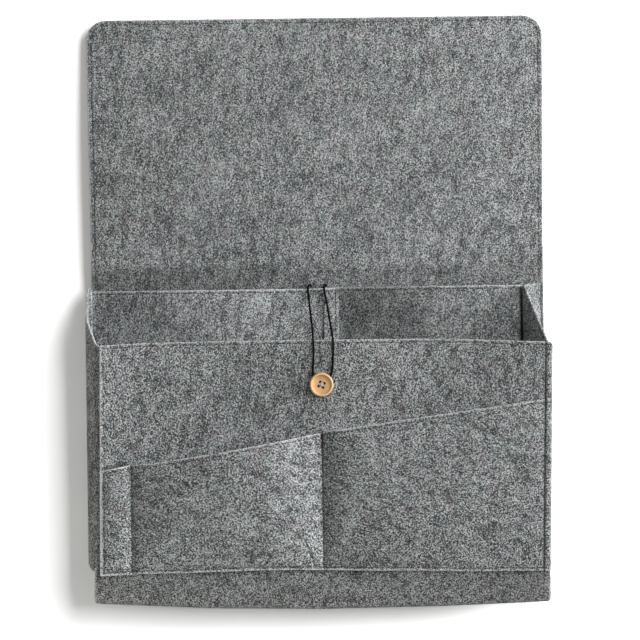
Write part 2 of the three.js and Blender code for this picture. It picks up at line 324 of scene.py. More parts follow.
# grains are waves per metre, turns are in radians
feltLook = {
    "dark": (0.034, 0.036, 0.037),
    "mid": (0.211, 0.216, 0.217),
    "light": (0.56, 0.57, 0.57),
    "places": (0.12, 0.5, 0.9),
    "fineness": 1.08,
    "fibreGrain": (1380, 1380, 400),
    "fibreTilts": (0.0, 0.35, -0.3),
    "fibreShare": 2.9,
    "speckGrain": 1080,
    "speckTurn": (0.2, 0.1, 0.4),
    "speckShare": 2.1,
    "patchGrain": (165, 165, 75),
    "patchShare": 1.35,
    "blotchGrain": 26,
    "blotchTurn": (0.0, 0.9, 0.0),
    "blotchShare": 0.35,
    "fleckGrain": (1050, 1050, 600),
    "fleckTurn": (0.7, 0.5, 0.1),
    "fleckLevel": 0.54,
    "fleckShare": 3.4,
    "fleckDrift": 0.45,
    "dyeGrain": 75,
    "dyeTurn": (0.5, 0.2, 0.0),
    "dyes": ((0.35, (0.94, 1.0, 0.985)), (0.65, (1.0, 0.98, 1.0))),
    "rawLift": 0.375,
    "bump": (0.35, 0.0006),
    "finish": {
        "Roughness": 0.95,
        "Specular IOR Level": 0.15,
        "Sheen Weight": 0.12,
        "Sheen Roughness": 0.5,
    },
}
# the front sheets are cut from a piece with finer and stronger fibres
frontLook = dict(
    feltLook,
    mid=(0.18, 0.184, 0.185),
    fineness=1.22,
    fibreShare=5.2,
    speckShare=3.8,
    patchShare=2.2,
    fleckShare=7.2,
    rawLift=0.55,
)


def feltMaterial(name, look, fibreTurns, wispTurn):
    material, tree, shader = newMaterial(name)
    spot = tree.nodes.new("ShaderNodeTexCoord").outputs["Object"]
    # three sets of short fibres lying at their own angles
    grain = [look["fineness"] * s for s in look["fibreGrain"]]
    fibres = []
    for turn, tilt in zip(fibreTurns, look["fibreTilts"]):
        fibres.append(noiseNode(tree, spot, (tilt, math.radians(turn), 0), grain, 1.5, 0.55))
    fibre = mathNode(tree, "MULTIPLY", sumNode(tree, fibres), 1 / len(fibres))
    speckGrain = look["fineness"] * look["speckGrain"]
    speck = noiseNode(tree, spot, look["speckTurn"], speckGrain, 1.0, 0.6)
    patch = noiseNode(tree, spot, (0, math.radians(wispTurn), 0), look["patchGrain"], 3.0, 0.65)
    blotch = noiseNode(tree, spot, look["blotchTurn"], look["blotchGrain"], 2.0, 0.5)
    layers = {"fibreShare": fibre, "speckShare": speck, "patchShare": patch, "blotchShare": blotch}
    shares = []
    for share, layer in layers.items():
        offset = mathNode(tree, "SUBTRACT", layer, 0.5)
        shares.append(mathNode(tree, "MULTIPLY", offset, look[share]))
    total = sumNode(tree, shares)
    # black fibres, thicker in some places than in others
    fleck = noiseNode(tree, spot, look["fleckTurn"], look["fleckGrain"], 1.0, 0.5)
    drift = mathNode(tree, "MULTIPLY", patch, look["fleckDrift"])
    fleckStart = look["fleckLevel"] + 0.5 * look["fleckDrift"]
    fleck = mathNode(tree, "SUBTRACT", mathNode(tree, "ADD", fleck, drift), fleckStart, clamp=True)
    fleck = mathNode(tree, "MULTIPLY", fleck, look["fleckShare"])
    total = mathNode(tree, "SUBTRACT", total, fleck)
    # cut edges: paler from cut fibres, and lighter still as painted light where the edge catches the
    # light
    lift = mathNode(tree, "MULTIPLY", attributeNode(tree, "rawEdge"), look["rawLift"])
    total = mathNode(tree, "ADD", total, lift)
    total = mathNode(tree, "ADD", total, 0.5, clamp=True)
    colours = (look["dark"], look["mid"], look["light"])
    wool = rampNode(tree, total, list(zip(look["places"], colours)))
    # wool lots of slightly different dye
    dye = noiseNode(tree, spot, look["dyeTurn"], look["dyeGrain"], 2.0, 0.6)
    dyed = tree.nodes.new("ShaderNodeMix")
    dyed.data_type = "RGBA"
    dyed.blend_type = "MULTIPLY"
    dyed.inputs["Factor"].default_value = 1.0
    tree.links.new(wool, dyed.inputs["A"])
    tree.links.new(rampNode(tree, dye, look["dyes"]), dyed.inputs["B"])
    # the tone attribute scales the colour: piece tones of the felt, and the painted light and painted
    # shade set on each sheet
    toneAndShading = tree.nodes.new("ShaderNodeVectorMath")
    toneAndShading.operation = "SCALE"
    tree.links.new(dyed.outputs["Result"], toneAndShading.inputs[0])
    tree.links.new(attributeNode(tree, "tone"), toneAndShading.inputs["Scale"])
    tree.links.new(toneAndShading.outputs["Vector"], shader.inputs["Base Color"])
    finishShader(tree, shader, look, mathNode(tree, "ADD", fibre, speck))
    return material


sewLook = {
    "thread": (0.04, 0.04, 0.041),
    "hole": (0.006, 0.006, 0.006),
    "tack": (0.05, 0.026, 0.02),
    "drilled": (0.02, 0.011, 0.006),
    "cotton": (0.62, 0.57, 0.47),
    "twistGrain": 1900,
    "twistTurn": (0.4, 0.3, 0.2),
    "places": (0.3, 0.7),
    "shades": (0.6, 1.4),
    "shine": 0.2,
}


def sewMaterial(name, colour, rough):
    material, tree, shader = newMaterial(name)
    spot = tree.nodes.new("ShaderNodeTexCoord").outputs["Object"]
    twist = noiseNode(tree, spot, sewLook["twistTurn"], sewLook["twistGrain"], 2.0, 0.5)
    colours = [[shade * v for v in colour] for shade in sewLook["shades"]]
    yarn = rampNode(tree, twist, list(zip(sewLook["places"], colours)))
    tree.links.new(yarn, shader.inputs["Base Color"])
    finish = {"Roughness": rough, "Specular IOR Level": sewLook["shine"]}
    finishShader(tree, shader, {"finish": finish})
    return material


woodLook = {
    "deep": (0.56, 0.325, 0.144),
    "pale": (0.75, 0.49, 0.26),
    "places": (0.28, 0.62),
    "grainTurn": 0.5,
    "grain": (170, 170, 1300),
    "grainShare": 0.6,
    "cloud": (120, 120, 260),
    "cloudShare": 0.4,
    "bump": (0.15, 0.0002),
    "finish": {"Roughness": 0.5, "Specular IOR Level": 0.35},
}


def woodMaterial(name, look):
    material, tree, shader = newMaterial(name)
    spot = tree.nodes.new("ShaderNodeTexCoord").outputs["Object"]
    turn = (0, look["grainTurn"], 0)
    grain = noiseNode(tree, spot, turn, look["grain"], 3.0, 0.6)
    cloud = noiseNode(tree, spot, turn, look["cloud"], 2.0, 0.5)
    grainPart = mathNode(tree, "MULTIPLY", grain, look["grainShare"])
    cloudPart = mathNode(tree, "MULTIPLY", cloud, look["cloudShare"])
    total = mathNode(tree, "ADD", grainPart, cloudPart)
    wood = rampNode(tree, total, list(zip(look["places"], (look["deep"], look["pale"]))))
    tree.links.new(wood, shader.inputs["Base Color"])
    finishShader(tree, shader, look, grain)
    return material


elasticLook = {
    "colour": (0.002, 0.002, 0.0024),
    "fleck": (0.006, 0.006, 0.0068),
    "braidTurns": (0.785, -0.785),
    "unevenness": 0.4,
    "bump": (0.5, 0.0002),
    "finish": {"Roughness": 0.9, "Specular IOR Level": 0.06},
}


# braided cover: two crossing sets of bands along the cord's own map
def elasticMaterial(name, look):
    material, tree, shader = newMaterial(name)
    spot = tree.nodes.new("ShaderNodeUVMap")
    spot.uv_map = "braid"
    bands = []
    for turn in look["braidTurns"]:
        place = tree.nodes.new("ShaderNodeMapping")
        place.inputs["Rotation"].default_value = (0, 0, turn)
        tree.links.new(spot.outputs["UV"], place.inputs["Vector"])
        wave = tree.nodes.new("ShaderNodeTexWave")
        wave.inputs["Scale"].default_value = 1.0
        wave.inputs["Distortion"].default_value = look["unevenness"]
        tree.links.new(place.outputs["Vector"], wave.inputs["Vector"])
        bands.append(wave.outputs["Fac"])
    crossed = mathNode(tree, "MAXIMUM", *bands)
    cover = rampNode(tree, crossed, ((0, look["colour"]), (1, look["fleck"])))
    tree.links.new(cover, shader.inputs["Base Color"])
    finishShader(tree, shader, look, crossed)
    return material


# degrees by which the fibre sets and the wisps lie on upright sheets and on the pocket sheet
lay = {
    "upright": ((8, -28, 44), 10),
    "across": ((112, 96, 132), 112),
}
feltGrey = feltMaterial("mottledFelt", feltLook, *lay["upright"])
feltFront = feltMaterial("mottledFeltFront", frontLook, *lay["upright"])
feltAcross = feltMaterial("mottledFeltAcross", frontLook, *lay["across"])
sewThread = sewMaterial("sewingThread", sewLook["thread"], 0.7)
# painted shade: needle holes are near-black blobs standing in for the shadow inside each hole
needleHole = sewMaterial("needleHole", sewLook["hole"], 0.9)
buttonWood = woodMaterial("turnedWood", woodLook)
holeShade = sewMaterial("holeShade", sewLook["drilled"], 0.9)
tackThread = sewMaterial("tackThread", sewLook["tack"], 0.7)
cotton = sewMaterial("paleCotton", sewLook["cotton"], 0.75)
braid = elasticMaterial("braidedElastic", elasticLook)
print("stage: materials made")


# elastic loop
elastic = {
    "diameter": 1.8,
    "sides": 14,
    "perSpan": 14,
    "braidTurns": 0.9,
    "slitY": -3.4,
    "frontFace": -49.0,
    "onFront": -50.35,
    "ring": 3.1,
}


# centripetal curve through the points
def smoothRoute(points, perSpan):
    pts = np.array(points, float)
    pts = np.vstack([2 * pts[0] - pts[1], pts, 2 * pts[-1] - pts[-2]])
    route = []
    for i in range(1, len(pts) - 2):
        p0, p1, p2, p3 = pts[i - 1 : i + 3]
        t1 = np.linalg.norm(p1 - p0) ** 0.5
        t2 = t1 + np.linalg.norm(p2 - p1) ** 0.5
        t3 = t2 + np.linalg.norm(p3 - p2) ** 0.5
        for t in np.linspace(t1, t2, perSpan, endpoint=False):
            a1 = (t1 - t) / t1 * p0 + t / t1 * p1
            a2 = (t2 - t) / (t2 - t1) * p1 + (t - t1) / (t2 - t1) * p2
            a3 = (t3 - t) / (t3 - t2) * p2 + (t - t2) / (t3 - t2) * p3
            b1 = (t2 - t) / t2 * a1 + t / t2 * a2
            b2 = (t3 - t) / (t3 - t1) * a2 + (t - t1) / (t3 - t1) * a3
            route.append((t2 - t) / (t2 - t1) * b1 + (t - t1) / (t2 - t1) * b2)
    route.append(pts[-2])
    return np.array(route)


tube = {
    "sideHint": (0.31, 0.2, 0.93),
    "mapTurns": 4,
}


# a round tube along a route, closed at both ends, with a map that runs with it
def tubeMesh(name, route, radius, sides, turnsPerMm=0.0):
    route = np.asarray(route, float)
    ahead = np.gradient(route, axis=0)
    ahead /= np.linalg.norm(ahead, axis=1, keepdims=True)
    side = np.cross(ahead[0], tube["sideHint"])
    turn = np.arange(sides) / sides * 2 * np.pi
    verts, reach = [], [0.0]
    for i, p in enumerate(route):
        side = side - ahead[i] * np.dot(side, ahead[i])
        side /= np.linalg.norm(side)
        up = np.cross(ahead[i], side)
        verts.append(p + radius * (np.cos(turn)[:, None] * side + np.sin(turn)[:, None] * up))
        if i:
            reach.append(reach[-1] + np.linalg.norm(p - route[i - 1]))
    count = len(route)
    verts = np.vstack(verts + [route[:1], route[-1:]])
    faces, maps = [], []
    for i in range(count - 1):
        v0, v1 = reach[i] * turnsPerMm, reach[i + 1] * turnsPerMm
        for k in range(sides):
            n = (k + 1) % sides
            faces.append((i * sides + k, i * sides + n, (i + 1) * sides + n, (i + 1) * sides + k))
            u0, u1 = k / sides * tube["mapTurns"], (k + 1) / sides * tube["mapTurns"]
            maps += [(u0, v0), (u1, v0), (u1, v1), (u0, v1)]
    last = (count - 1) * sides
    for k in range(sides):
        n = (k + 1) % sides
        faces.append((n, k, count * sides))
        faces.append((last + k, last + n, count * sides + 1))
        maps += [(0, 0)] * 6
    mesh = bpy.data.meshes.new(name)
    mesh.from_pydata((verts * mm).tolist(), [], faces)
    layer = mesh.uv_layers.new(name="braid")
    layer.data.foreach_set("uv", np.array(maps, np.float32).ravel())
    shadeSmooth(mesh)
    mesh.update()
    return mesh, reach[-1]


# from the slit over the edge, down to the button, round it and back
bx, bz = plan["buttonX"], plan["buttonZ"]
slitY, onFront, ring = elastic["slitY"], elastic["onFront"], elastic["ring"]
overEdge, frontTop, frontFace = plan["pocketBackTop"], plan["frontTop"], elastic["frontFace"]
loopPoints = [
    (-5.1, slitY, overEdge + 0.4),
    (-5.3, slitY - 0.1, overEdge + 1.5),
    (-6.5, slitY - 1.5, overEdge + 2.3),
    (-7.7, slitY - 3.2, overEdge + 1.2),
    (-8.0, slitY - 4.4, overEdge - 1.6),
    (-6.9, between(slitY, frontFace, 0.3), between(overEdge, frontTop, 0.3)),
    (-5.0, between(slitY, frontFace, 0.7), between(overEdge, frontTop, 0.7) + 0.8),
    (-4.1, frontFace - 0.6, frontTop + 2),
    (-4.0, onFront - 0.3, frontTop - 2),
    (-4.0, onFront, frontTop - 14),
    (-4.4, onFront, bz + 8.5),
    (bx - ring - 1.2, onFront, bz + 2.4),
    (bx - ring * 0.8, onFront, bz - ring * 0.6),
    (bx, onFront, bz - ring),
    (bx + ring * 0.8, onFront, bz - ring * 0.6),
    (bx + ring + 1.2, onFront, bz + 2.4),
    (10.6, onFront, bz + 8),
    (12.4, onFront, frontTop - 14),
    (12.7, onFront - 0.3, frontTop - 2),
    (12.5, frontFace - 0.6, frontTop + 2),
    (10.7, between(slitY, frontFace, 0.7), between(overEdge, frontTop, 0.7) + 0.8),
    (7.9, between(slitY, frontFace, 0.3), between(overEdge, frontTop, 0.3)),
    (5.7, slitY - 4.4, overEdge - 1.6),
    (5.9, slitY - 3.2, overEdge + 1.2),
    (6.6, slitY - 1.5, overEdge + 2.3),
    (7.6, slitY - 0.1, overEdge + 1.5),
    (7.8, slitY, overEdge + 0.4),
]
loopRoute = smoothRoute(loopPoints, elastic["perSpan"])
loopRadius = elastic["diameter"] / 2
loopMesh, loopLength = tubeMesh(
    "elasticLoop", loopRoute, loopRadius, elastic["sides"], elastic["braidTurns"]
)
loopObject = addObject("elasticLoop", loopMesh)
loopMesh.materials.append(braid)
print("stage: elastic loop, mm", round(loopLength, 1))


# back sheet: back panel and flap in one piece, creased between them
# waves are size, seed and height
backSheet = {
    "halfWidth": 192.0,
    "topWiden": 1.5,
    "topRadius": 17.0,
    "bottomRadius": 7.0,
    "stitchInset": 3.8,
    "grooveDepth": 0.3,
    "grooveWidth": 0.8,
    "creaseDepth": 0.3,
    "creaseWidth": 2.2,
    "creaseLeast": 0.75,
    "creaseWave": (35, 4.4, 0.5),
    "coarse": 4.5,
    "waves": ((150, 3.1, 1.1), (60, 8.7, 0.385)),
    "looseZ": (118, 200),
    "curl": 1.0,
    "curlX": (60, 190),
    "curlZ": (250, 336),
    "bow": 3.5,
    # painted shade below the crease: its darkness, its change across, its reach, its heights and its
    # uneven upper edge
    "belowCreaseShade": 0.72,
    "belowCreaseShadeRight": 0.07,
    "belowCreaseShadeReach": 190,
    "belowCreaseShadeZ": (122, 130),
    "belowCreaseShadeWave": (30, 7.3, 1.5),
    "sideTone": 0.07,
}


def backEdge(z):
    widen = smooth(plan["creaseZ"], plan["flapTop"], z)
    return backSheet["halfWidth"] + backSheet["topWiden"] * widen


def cornerInset(z):
    top, low = backSheet["topRadius"], backSheet["bottomRadius"]
    return roundedIn(top, z - plan["flapTop"] + top) + roundedIn(low, plan["bottomZ"] + low - z)


# distance from the cut edges, round the corner of radius r where both are near
def cornerDistance(nearest, r, dx, dz):
    rounded = np.maximum(r - np.hypot(r - dx, r - dz), 0)
    return np.where((dx < r) & (dz < r), rounded, nearest)


def backDistance(x, z):
    dx = backEdge(z) - np.abs(x)
    top = plan["flapTop"] - z
    low = z - plan["bottomZ"]
    nearest = np.minimum(dx, np.minimum(top, low))
    nearest = cornerDistance(nearest, backSheet["topRadius"], dx, top)
    nearest = cornerDistance(nearest, backSheet["bottomRadius"], dx, low)
    return np.maximum(nearest, 0)


def backMiddle(x, z):
    sag = sum(ripple(x, z, *wave) for wave in backSheet["waves"])
    curl = backSheet["curl"] * smooth(*backSheet["curlZ"], z) * smooth(*backSheet["curlX"], np.abs(x))
    up = np.clip((z - plan["creaseZ"]) / (plan["flapTop"] - plan["creaseZ"]), 0, 1)
    bow = backSheet["bow"] * np.sin(np.pi * up)
    return plan["backMid"] + smooth(*backSheet["looseZ"], z) * (sag - curl) - bow


def buildBackSheet():
    inset, w = backSheet["stitchInset"], backSheet["halfWidth"]
    top, low, crease = plan["flapTop"], plan["bottomZ"], plan["creaseZ"]
    rows = gridLine(low, top, backSheet["coarse"], (low + inset, crease, top - inset))
    corners = cornerRows(top, backSheet["topRadius"], 6)
    corners += cornerRows(low, -backSheet["bottomRadius"], 10)
    share = gridLine(-w, w, backSheet["coarse"], (-w + inset, w - inset)) / w
    zz, ss = np.meshgrid(gridRows(rows, corners, top), share, indexing="ij")
    xx = ss * (backEdge(zz) - cornerInset(zz))
    distance = backDistance(xx, zz)
    half = rimHalf(distance)
    half -= groove(distance - inset, backSheet["grooveDepth"], backSheet["grooveWidth"])
    uneven = backSheet["creaseLeast"] + ripple(xx, zz, *backSheet["creaseWave"])
    half -= groove(zz - crease, backSheet["creaseDepth"], backSheet["creaseWidth"]) * uneven
    middle = np.stack([xx, backMiddle(xx, zz), zz], -1)
    # below the crease the felt lies flatter, and its colour is darkened there as painted shade, where
    # the box keeps the light off
    toRight = np.clip(xx / backSheet["belowCreaseShadeReach"], -1, 1)
    toneAndShading = backSheet["belowCreaseShade"] + backSheet["belowCreaseShadeRight"] * toRight
    above = smooth(*backSheet["belowCreaseShadeZ"], zz + ripple(xx, zz, *backSheet["belowCreaseShadeWave"]))
    tone = 1 - (1 - toneAndShading) * (1 - above)
    # painted light: the sheet is coloured lighter towards the right, the side the lamps are on
    tone = tone * (1 + backSheet["sideTone"] * np.clip(xx / w, -1, 1))
    return feltMesh("backSheet", middle, half, distance, tone)


backObject = buildBackSheet()
backObject.data.materials.append(feltGrey)
print("stage: back sheet")


# inner back layer of the box
pocketBack = {
    "centreX": -0.7,
    "halfWidth": 192.7,
    "bottomRadius": 7.0,
    "stitchBelow": 2.6,
    "grooveDepth": 0.3,
    "grooveWidth": 0.7,
    "dividerSeams": (4.9, 15.5),
    "foldMarks": (171.0, 173.0, 175.5),
    "swellZ": (-120, 95),
    # painted shade and painted light on the inner back, with their places across
    "shade": 0.28,
    "shadeX": ((16, 22), (62, 122)),
    "valleyLight": 0.14,
    "valleyLightX": ((-45, -12), (14, 20)),
    "leftSag": 1.0,
    "sagX": (-20, 30),
    "sagZ": (60, 105),
    "coarse": 4.5,
}
# the felt stands away from the back panel between its seams, more towards the open top
pocketBackSections = (
    {
        "from": -188.0,
        "to": -4.0,
        "swell": 10.0,
        "shares": [0, 0.1, 0.2, 0.31, 0.42, 0.54, 0.65, 0.76, 0.84, 0.92, 1],
        "heights": [0, 0.46, 0.76, 0.93, 1, 0.94, 0.76, 0.45, 0.21, 0.05, 0],
        "blur": 10,
    },
    {
        "from": 18.5,
        "to": 188.0,
        "swell": 13.5,
        "shares": [0, 0.1, 0.2, 0.35, 0.5, 0.65, 0.8, 0.899, 0.912, 0.929, 1],
        "heights": [0, 0.33, 0.58, 0.82, 0.95, 1, 1, 0.98, 0.5, 0.15, 0],
        "blur": 3,
    },
)


# the height of a softened section between two seams, 0 outside them
def sectionOut(x, start, stop, swell, shares, heights, blur):
    share = (x - start) / (stop - start)
    height = np.interp(share, *softSection(shares, heights, blur))
    return np.where((share > 0) & (share < 1), swell * height, 0)


def pocketBackMiddle(x, z):
    x, z = np.broadcast_arrays(np.asarray(x, float), np.asarray(z, float))
    out = sum(sectionOut(x, *part.values()) for part in pocketBackSections)
    return plan["pocketBackMid"] - out * smooth(*pocketBack["swellZ"], z)


# how much the upper edge hangs lower at the left
def pocketBackSag(x, z):
    atLeft = 1 - smooth(*pocketBack["sagX"], x)
    return -pocketBack["leftSag"] * atLeft * smooth(*pocketBack["sagZ"], z)


# 1 between a rise and a fall, each a pair of places
def bandShare(value, rise, fall):
    return smooth(*rise, value) * (1 - smooth(*fall, value))


def buildPocketBack():
    w, r = pocketBack["halfWidth"], pocketBack["bottomRadius"]
    top, low = plan["pocketBackTop"], plan["bottomZ"]
    sewn = top - pocketBack["stitchBelow"]
    rows = gridLine(low, top, pocketBack["coarse"], (sewn,))
    marks = (*pocketBack["dividerSeams"], *pocketBack["foldMarks"])
    x = gridLine(-w, w, pocketBack["coarse"], marks)
    zz, xx = np.meshgrid(gridRows(rows, cornerRows(low, -r, 10), top), x, indexing="ij")
    xx = xx * (w - roundedIn(r, low + r - zz)) / w
    dx, dz = w - np.abs(xx), zz - low
    distance = np.minimum(np.minimum(dx, dz), top - zz)
    distance = cornerDistance(distance, r, dx, dz)
    xx = xx + pocketBack["centreX"]
    half = rimHalf(distance)
    half -= groove(zz - sewn, pocketBack["grooveDepth"], pocketBack["grooveWidth"])
    middle = np.stack([xx, pocketBackMiddle(xx, zz), zz + pocketBackSag(xx, zz)], -1)
    # painted shade right of the divider, where the felt turns from the light, and painted light in the
    # valley round the divider, where the swells keep the grazing light off
    tone = 1 - pocketBack["shade"] * bandShare(xx, *pocketBack["shadeX"])
    tone = tone + pocketBack["valleyLight"] * bandShare(xx, *pocketBack["valleyLightX"])
    return feltMesh("pocketBack", middle, half, distance, tone)


pocketBackObject = buildPocketBack()
pocketBackObject.data.materials.append(feltGrey)
print("stage: inner back layer")


# strips bent along a profile: side gussets, bottom gusset and divider
bend = {
    "most": 0.48,
    "points": 7,
    "coarse": 1.6,
    "coarseWide": 1.7,
    "step": 5.0,
}


# an even walk along a line with rounded corners
def roundedLine(points, radius, step):
    pts = [np.array(p, float) for p in points]
    line = [pts[0]]
    for before, here, after in zip(pts, pts[1:], pts[2:]):
        sides = [before - here, after - here]
        lengths = [np.linalg.norm(side) for side in sides]
        cut = min(radius, bend["most"] * lengths[0], bend["most"] * lengths[1])
        a, b = (here + side / length * cut for side, length in zip(sides, lengths))
        for t in np.linspace(0, 1, bend["points"]):
            line.append((1 - t) ** 2 * a + 2 * t * (1 - t) * here + t * t * b)
    line.append(pts[-1])
    line = np.array(line)
    reach = np.concatenate([[0], np.cumsum(np.linalg.norm(np.diff(line, axis=0), axis=1))])
    stops = gridLine(0, reach[-1], step)
    return np.stack([np.interp(stops, reach, line[:, k]) for k in range(line.shape[1])], -1), stops


rearY, frontY = plan["rearFlange"], plan["frontFlange"]
gussets = {
    "bendRadius": 1.6,
    "tall": 240.0,
    "low": -126.0,
    "rearTop": 109.2,
    "frontDrop": 0.6,
    "riseFrom": 5,
    "riseOver": 20,
    "leanOver": 20,
    "leanFull": 40,
    "rightEnds": (192.4, 196.6),
}
# lines are across and out, slopes are distances from the back and shares of the fall
leftGusset = {
    "name": "leftGusset",
    "line": [
        (-191.3, -5.2),
        (-194.5, -5.4),
        (-195.2, -7.2),
        (-195.2, -33.0),
        (-187.2, -41.2),
        (-183.8, -41.8),
        (-182.6, -45.0),
        (-179.5, frontY),
    ],
    "slope": ([0, 6, 33, 42, 60], [0, 0, 0.5, 1, 1]),
    "rise": -1.0,
    "lean": 7.3,
    "tone": 1.08,
    "raw": 0.8,
    "outerX": -186.6,
    "outerLow": -129.5,
    "cornerX": -188.5,
    "cornerWidth": 6.7,
    "cornerRise": 6.5,
}
rightGusset = {
    "name": "rightGusset",
    "line": [(191.5, rearY), (188, rearY), (174, -19.4), (194.8, frontY), (196.4, frontY)],
    "slope": ([0, 4, 21, 44, 60], [0, 0, 0.02, 1, 1]),
    "rise": -1.6,
    "lean": 0.0,
    "tone": 0.87,
    "raw": 0.25,
    "seamX": 190.0,
    "seamShade": 0.5,
    "seamWidth": 0.8,
    "seamY": -8,
}


def gussetTop(y, slope, rise):
    fall = (gussets["rearTop"] - plan["frontTop"] + gussets["frontDrop"]) * np.interp(-y, *slope)
    out = np.clip((-y - gussets["riseFrom"]) / gussets["riseOver"], 0, 1)
    return gussets["rearTop"] + rise * out - fall


def buildGusset(side, lowest, shade):
    flat, reach = roundedLine(side["line"], gussets["bendRadius"], bend["coarse"])
    lows, tone = lowest(flat), shade(flat)
    tops = gussetTop(flat[:, 1], side["slope"], side["rise"])
    share = gridLine(0, gussets["tall"], bend["step"]) / gussets["tall"]
    ss, kk = np.meshgrid(share, np.arange(len(flat)), indexing="ij")
    zz = lows[kk] + (tops - lows)[kk] * ss
    # the right flange stays inside the front's edge
    inside = np.interp(zz, (plan["bottomZ"], plan["frontTop"]), gussets["rightEnds"])
    xx = np.minimum(flat[:, 0][kk], inside)
    yy = flat[:, 1][kk]
    lead = np.clip((plan["foldY"] - yy) / gussets["leanOver"], 0, 1)
    yy = yy - side["lean"] * lead * smooth(plan["bottomZ"], gussets["leanFull"], zz)
    ends = np.minimum(reach, reach[-1] - reach)[kk]
    distance = np.minimum(ends, np.minimum(tops[kk] - zz, zz - lows[kk]))
    middle = np.stack([xx, yy, zz], -1)
    thing = feltMesh(side["name"], middle, rimHalf(distance), distance, tone[kk], side["raw"])
    return thing, reach[-1]


# the outer part reaches lower, with its corner cut round
def leftLows(flat):
    side = leftGusset
    out = np.clip((side["cornerX"] - flat[:, 0]) / side["cornerWidth"], 0, 1)
    outer = side["outerLow"] + side["cornerRise"] * out**5
    return np.where(flat[:, 0] < side["outerX"], outer, gussets["low"])


# painted light: the left gusset is coloured lighter, standing in for light bounced onto its outer face
def leftTone(flat):
    return np.full(len(flat), leftGusset["tone"])


def rightLows(flat):
    return np.full(len(flat), gussets["low"])


# darker along the seam on the rear flange
def rightTone(flat):
    side = rightGusset
    line = groove(flat[:, 0] - side["seamX"], side["seamShade"], side["seamWidth"])
    return side["tone"] * (1 - line * (flat[:, 1] > side["seamY"]))


leftObject, leftWidth = buildGusset(leftGusset, leftLows, leftTone)
rightObject, rightWidth = buildGusset(rightGusset, rightLows, rightTone)
for thing in (leftObject, rightObject):
    thing.data.materials.append(feltGrey)
print("stage: side gussets, mm wide", round(leftWidth, 1), round(rightWidth, 1))

# the line is out and up from the lower seam; the fold hangs lowest in the middle
bottom = {
    "line": [
        (rearY, 5),
        (rearY, 0),
        (-6.5, -2),
        (-22.6, -27),
        (-28.7, -27),
        (-45.2, -2),
        (-45.9, 0.5),
        (-45.9, 6),
    ],
    "bendRadius": 2.6,
    "drop": 27,
    "foldShares": [0, 0.25, 0.5, 0.75, 1],
    "foldZ": [-156.4, -161.6, -163.4, -162.4, -159.4],
    "leftTop": -190.3,
    "leftFold": -190.9,
    "rightTop": 193.0,
    "rightFold": 193.3,
    "span": 381.0,
    "cornerRadius": 2.5,
    "wave": (70, 6.2, 0.7),
}


def buildBottom():
    flat, reach = roundedLine(bottom["line"], bottom["bendRadius"], bend["coarseWide"])
    share = gridLine(0, bottom["span"], bend["step"]) / bottom["span"]
    kk, ss = np.meshgrid(np.arange(len(flat)), share, indexing="ij")
    yy, dz = flat[:, 0][kk], flat[:, 1][kk]
    deep = np.clip(-dz / bottom["drop"], 0, 1)
    fold = np.interp(share, bottom["foldShares"], bottom["foldZ"])[None, :]
    ends = np.minimum(share, 1 - share)[None, :] * bottom["span"]
    r = bottom["cornerRadius"]
    fold = fold + roundedIn(r, r - ends)
    zz = plan["bottomZ"] + np.where(dz >= 0, dz, (fold - plan["bottomZ"]) * deep)
    left = between(bottom["leftTop"], bottom["leftFold"], deep)
    right = between(bottom["rightTop"], bottom["rightFold"], deep)
    xx = between(left, right, ss)
    yy = yy + ripple(xx, zz, *bottom["wave"]) * deep
    distance = np.minimum(ends, np.minimum(reach, reach[-1] - reach)[:, None])
    middle = np.stack([xx, yy, zz], -1)
    return feltMesh("bottomGusset", middle, rimHalf(distance), distance), reach[-1]


bottomObject, bottomWidth = buildBottom()
bottomObject.data.materials.append(feltFront)

divider = {
    "line": [(18, rearY), (4, rearY), (4, frontY), (-8, frontY)],
    "bendRadius": 1.6,
    "tall": 190.0,
    "flangeTop": 103.5,
    "wallTop": 53.5,
    "low": -126.0,
    "cutX": 6.0,
    "flangeY": -6.2,
    "flangeHalf": (0.3, 0.6),
    "flangeSoft": 6,
    "bow": 1.5,
    "bowFrom": 6,
    "bowOver": 39,
    "bowFull": 40,
    # painted light: the divider is coloured lighter, where its sewn flange lies in the shaded valley of
    # the inner back
    "tone": 1.2,
}


def buildDivider():
    flat, reach = roundedLine(divider["line"], divider["bendRadius"], bend["coarseWide"])
    low = divider["low"]
    tops = np.where(flat[:, 0] > divider["cutX"], divider["flangeTop"], divider["wallTop"])
    share = gridLine(0, divider["tall"], bend["step"]) / divider["tall"]
    ss, kk = np.meshgrid(share, np.arange(len(flat)), indexing="ij")
    zz = low + (tops - low)[kk] * ss
    ends = np.minimum(reach, reach[-1] - reach)[kk]
    distance = np.minimum(ends, np.minimum(tops[kk] - zz, zz - low))
    besideCut = np.maximum(flat[:, 0] - divider["cutX"], 0)[kk]
    distance = np.where(zz > divider["wallTop"], np.minimum(distance, besideCut), distance)
    out = np.clip((-flat[:, 1] - divider["bowFrom"]) / divider["bowOver"], 0, 1)
    bow = divider["bow"] * np.sin(np.pi * out)[kk] * smooth(low, divider["bowFull"], zz)
    # the rear flange is sewn down flat on the inner back layer
    flange = (flat[:, 1] > divider["flangeY"])[kk]
    sewnHalf = between(*divider["flangeHalf"], smooth(0, divider["flangeSoft"], distance))
    half = np.where(flange, sewnHalf, rimHalf(distance))
    yy = np.where(flange, rearY + feltThick / 2 - half, flat[:, 1][kk])
    middle = np.stack([flat[:, 0][kk] - bow, yy, zz], -1)
    return feltMesh("centerDivider", middle, half, distance, divider["tone"], 0.0), reach[-1]


dividerObject, dividerWidth = buildDivider()
dividerObject.data.materials.append(feltGrey)
print("stage: bottom gusset and divider, mm wide", round(bottomWidth, 1), round(dividerWidth, 1))


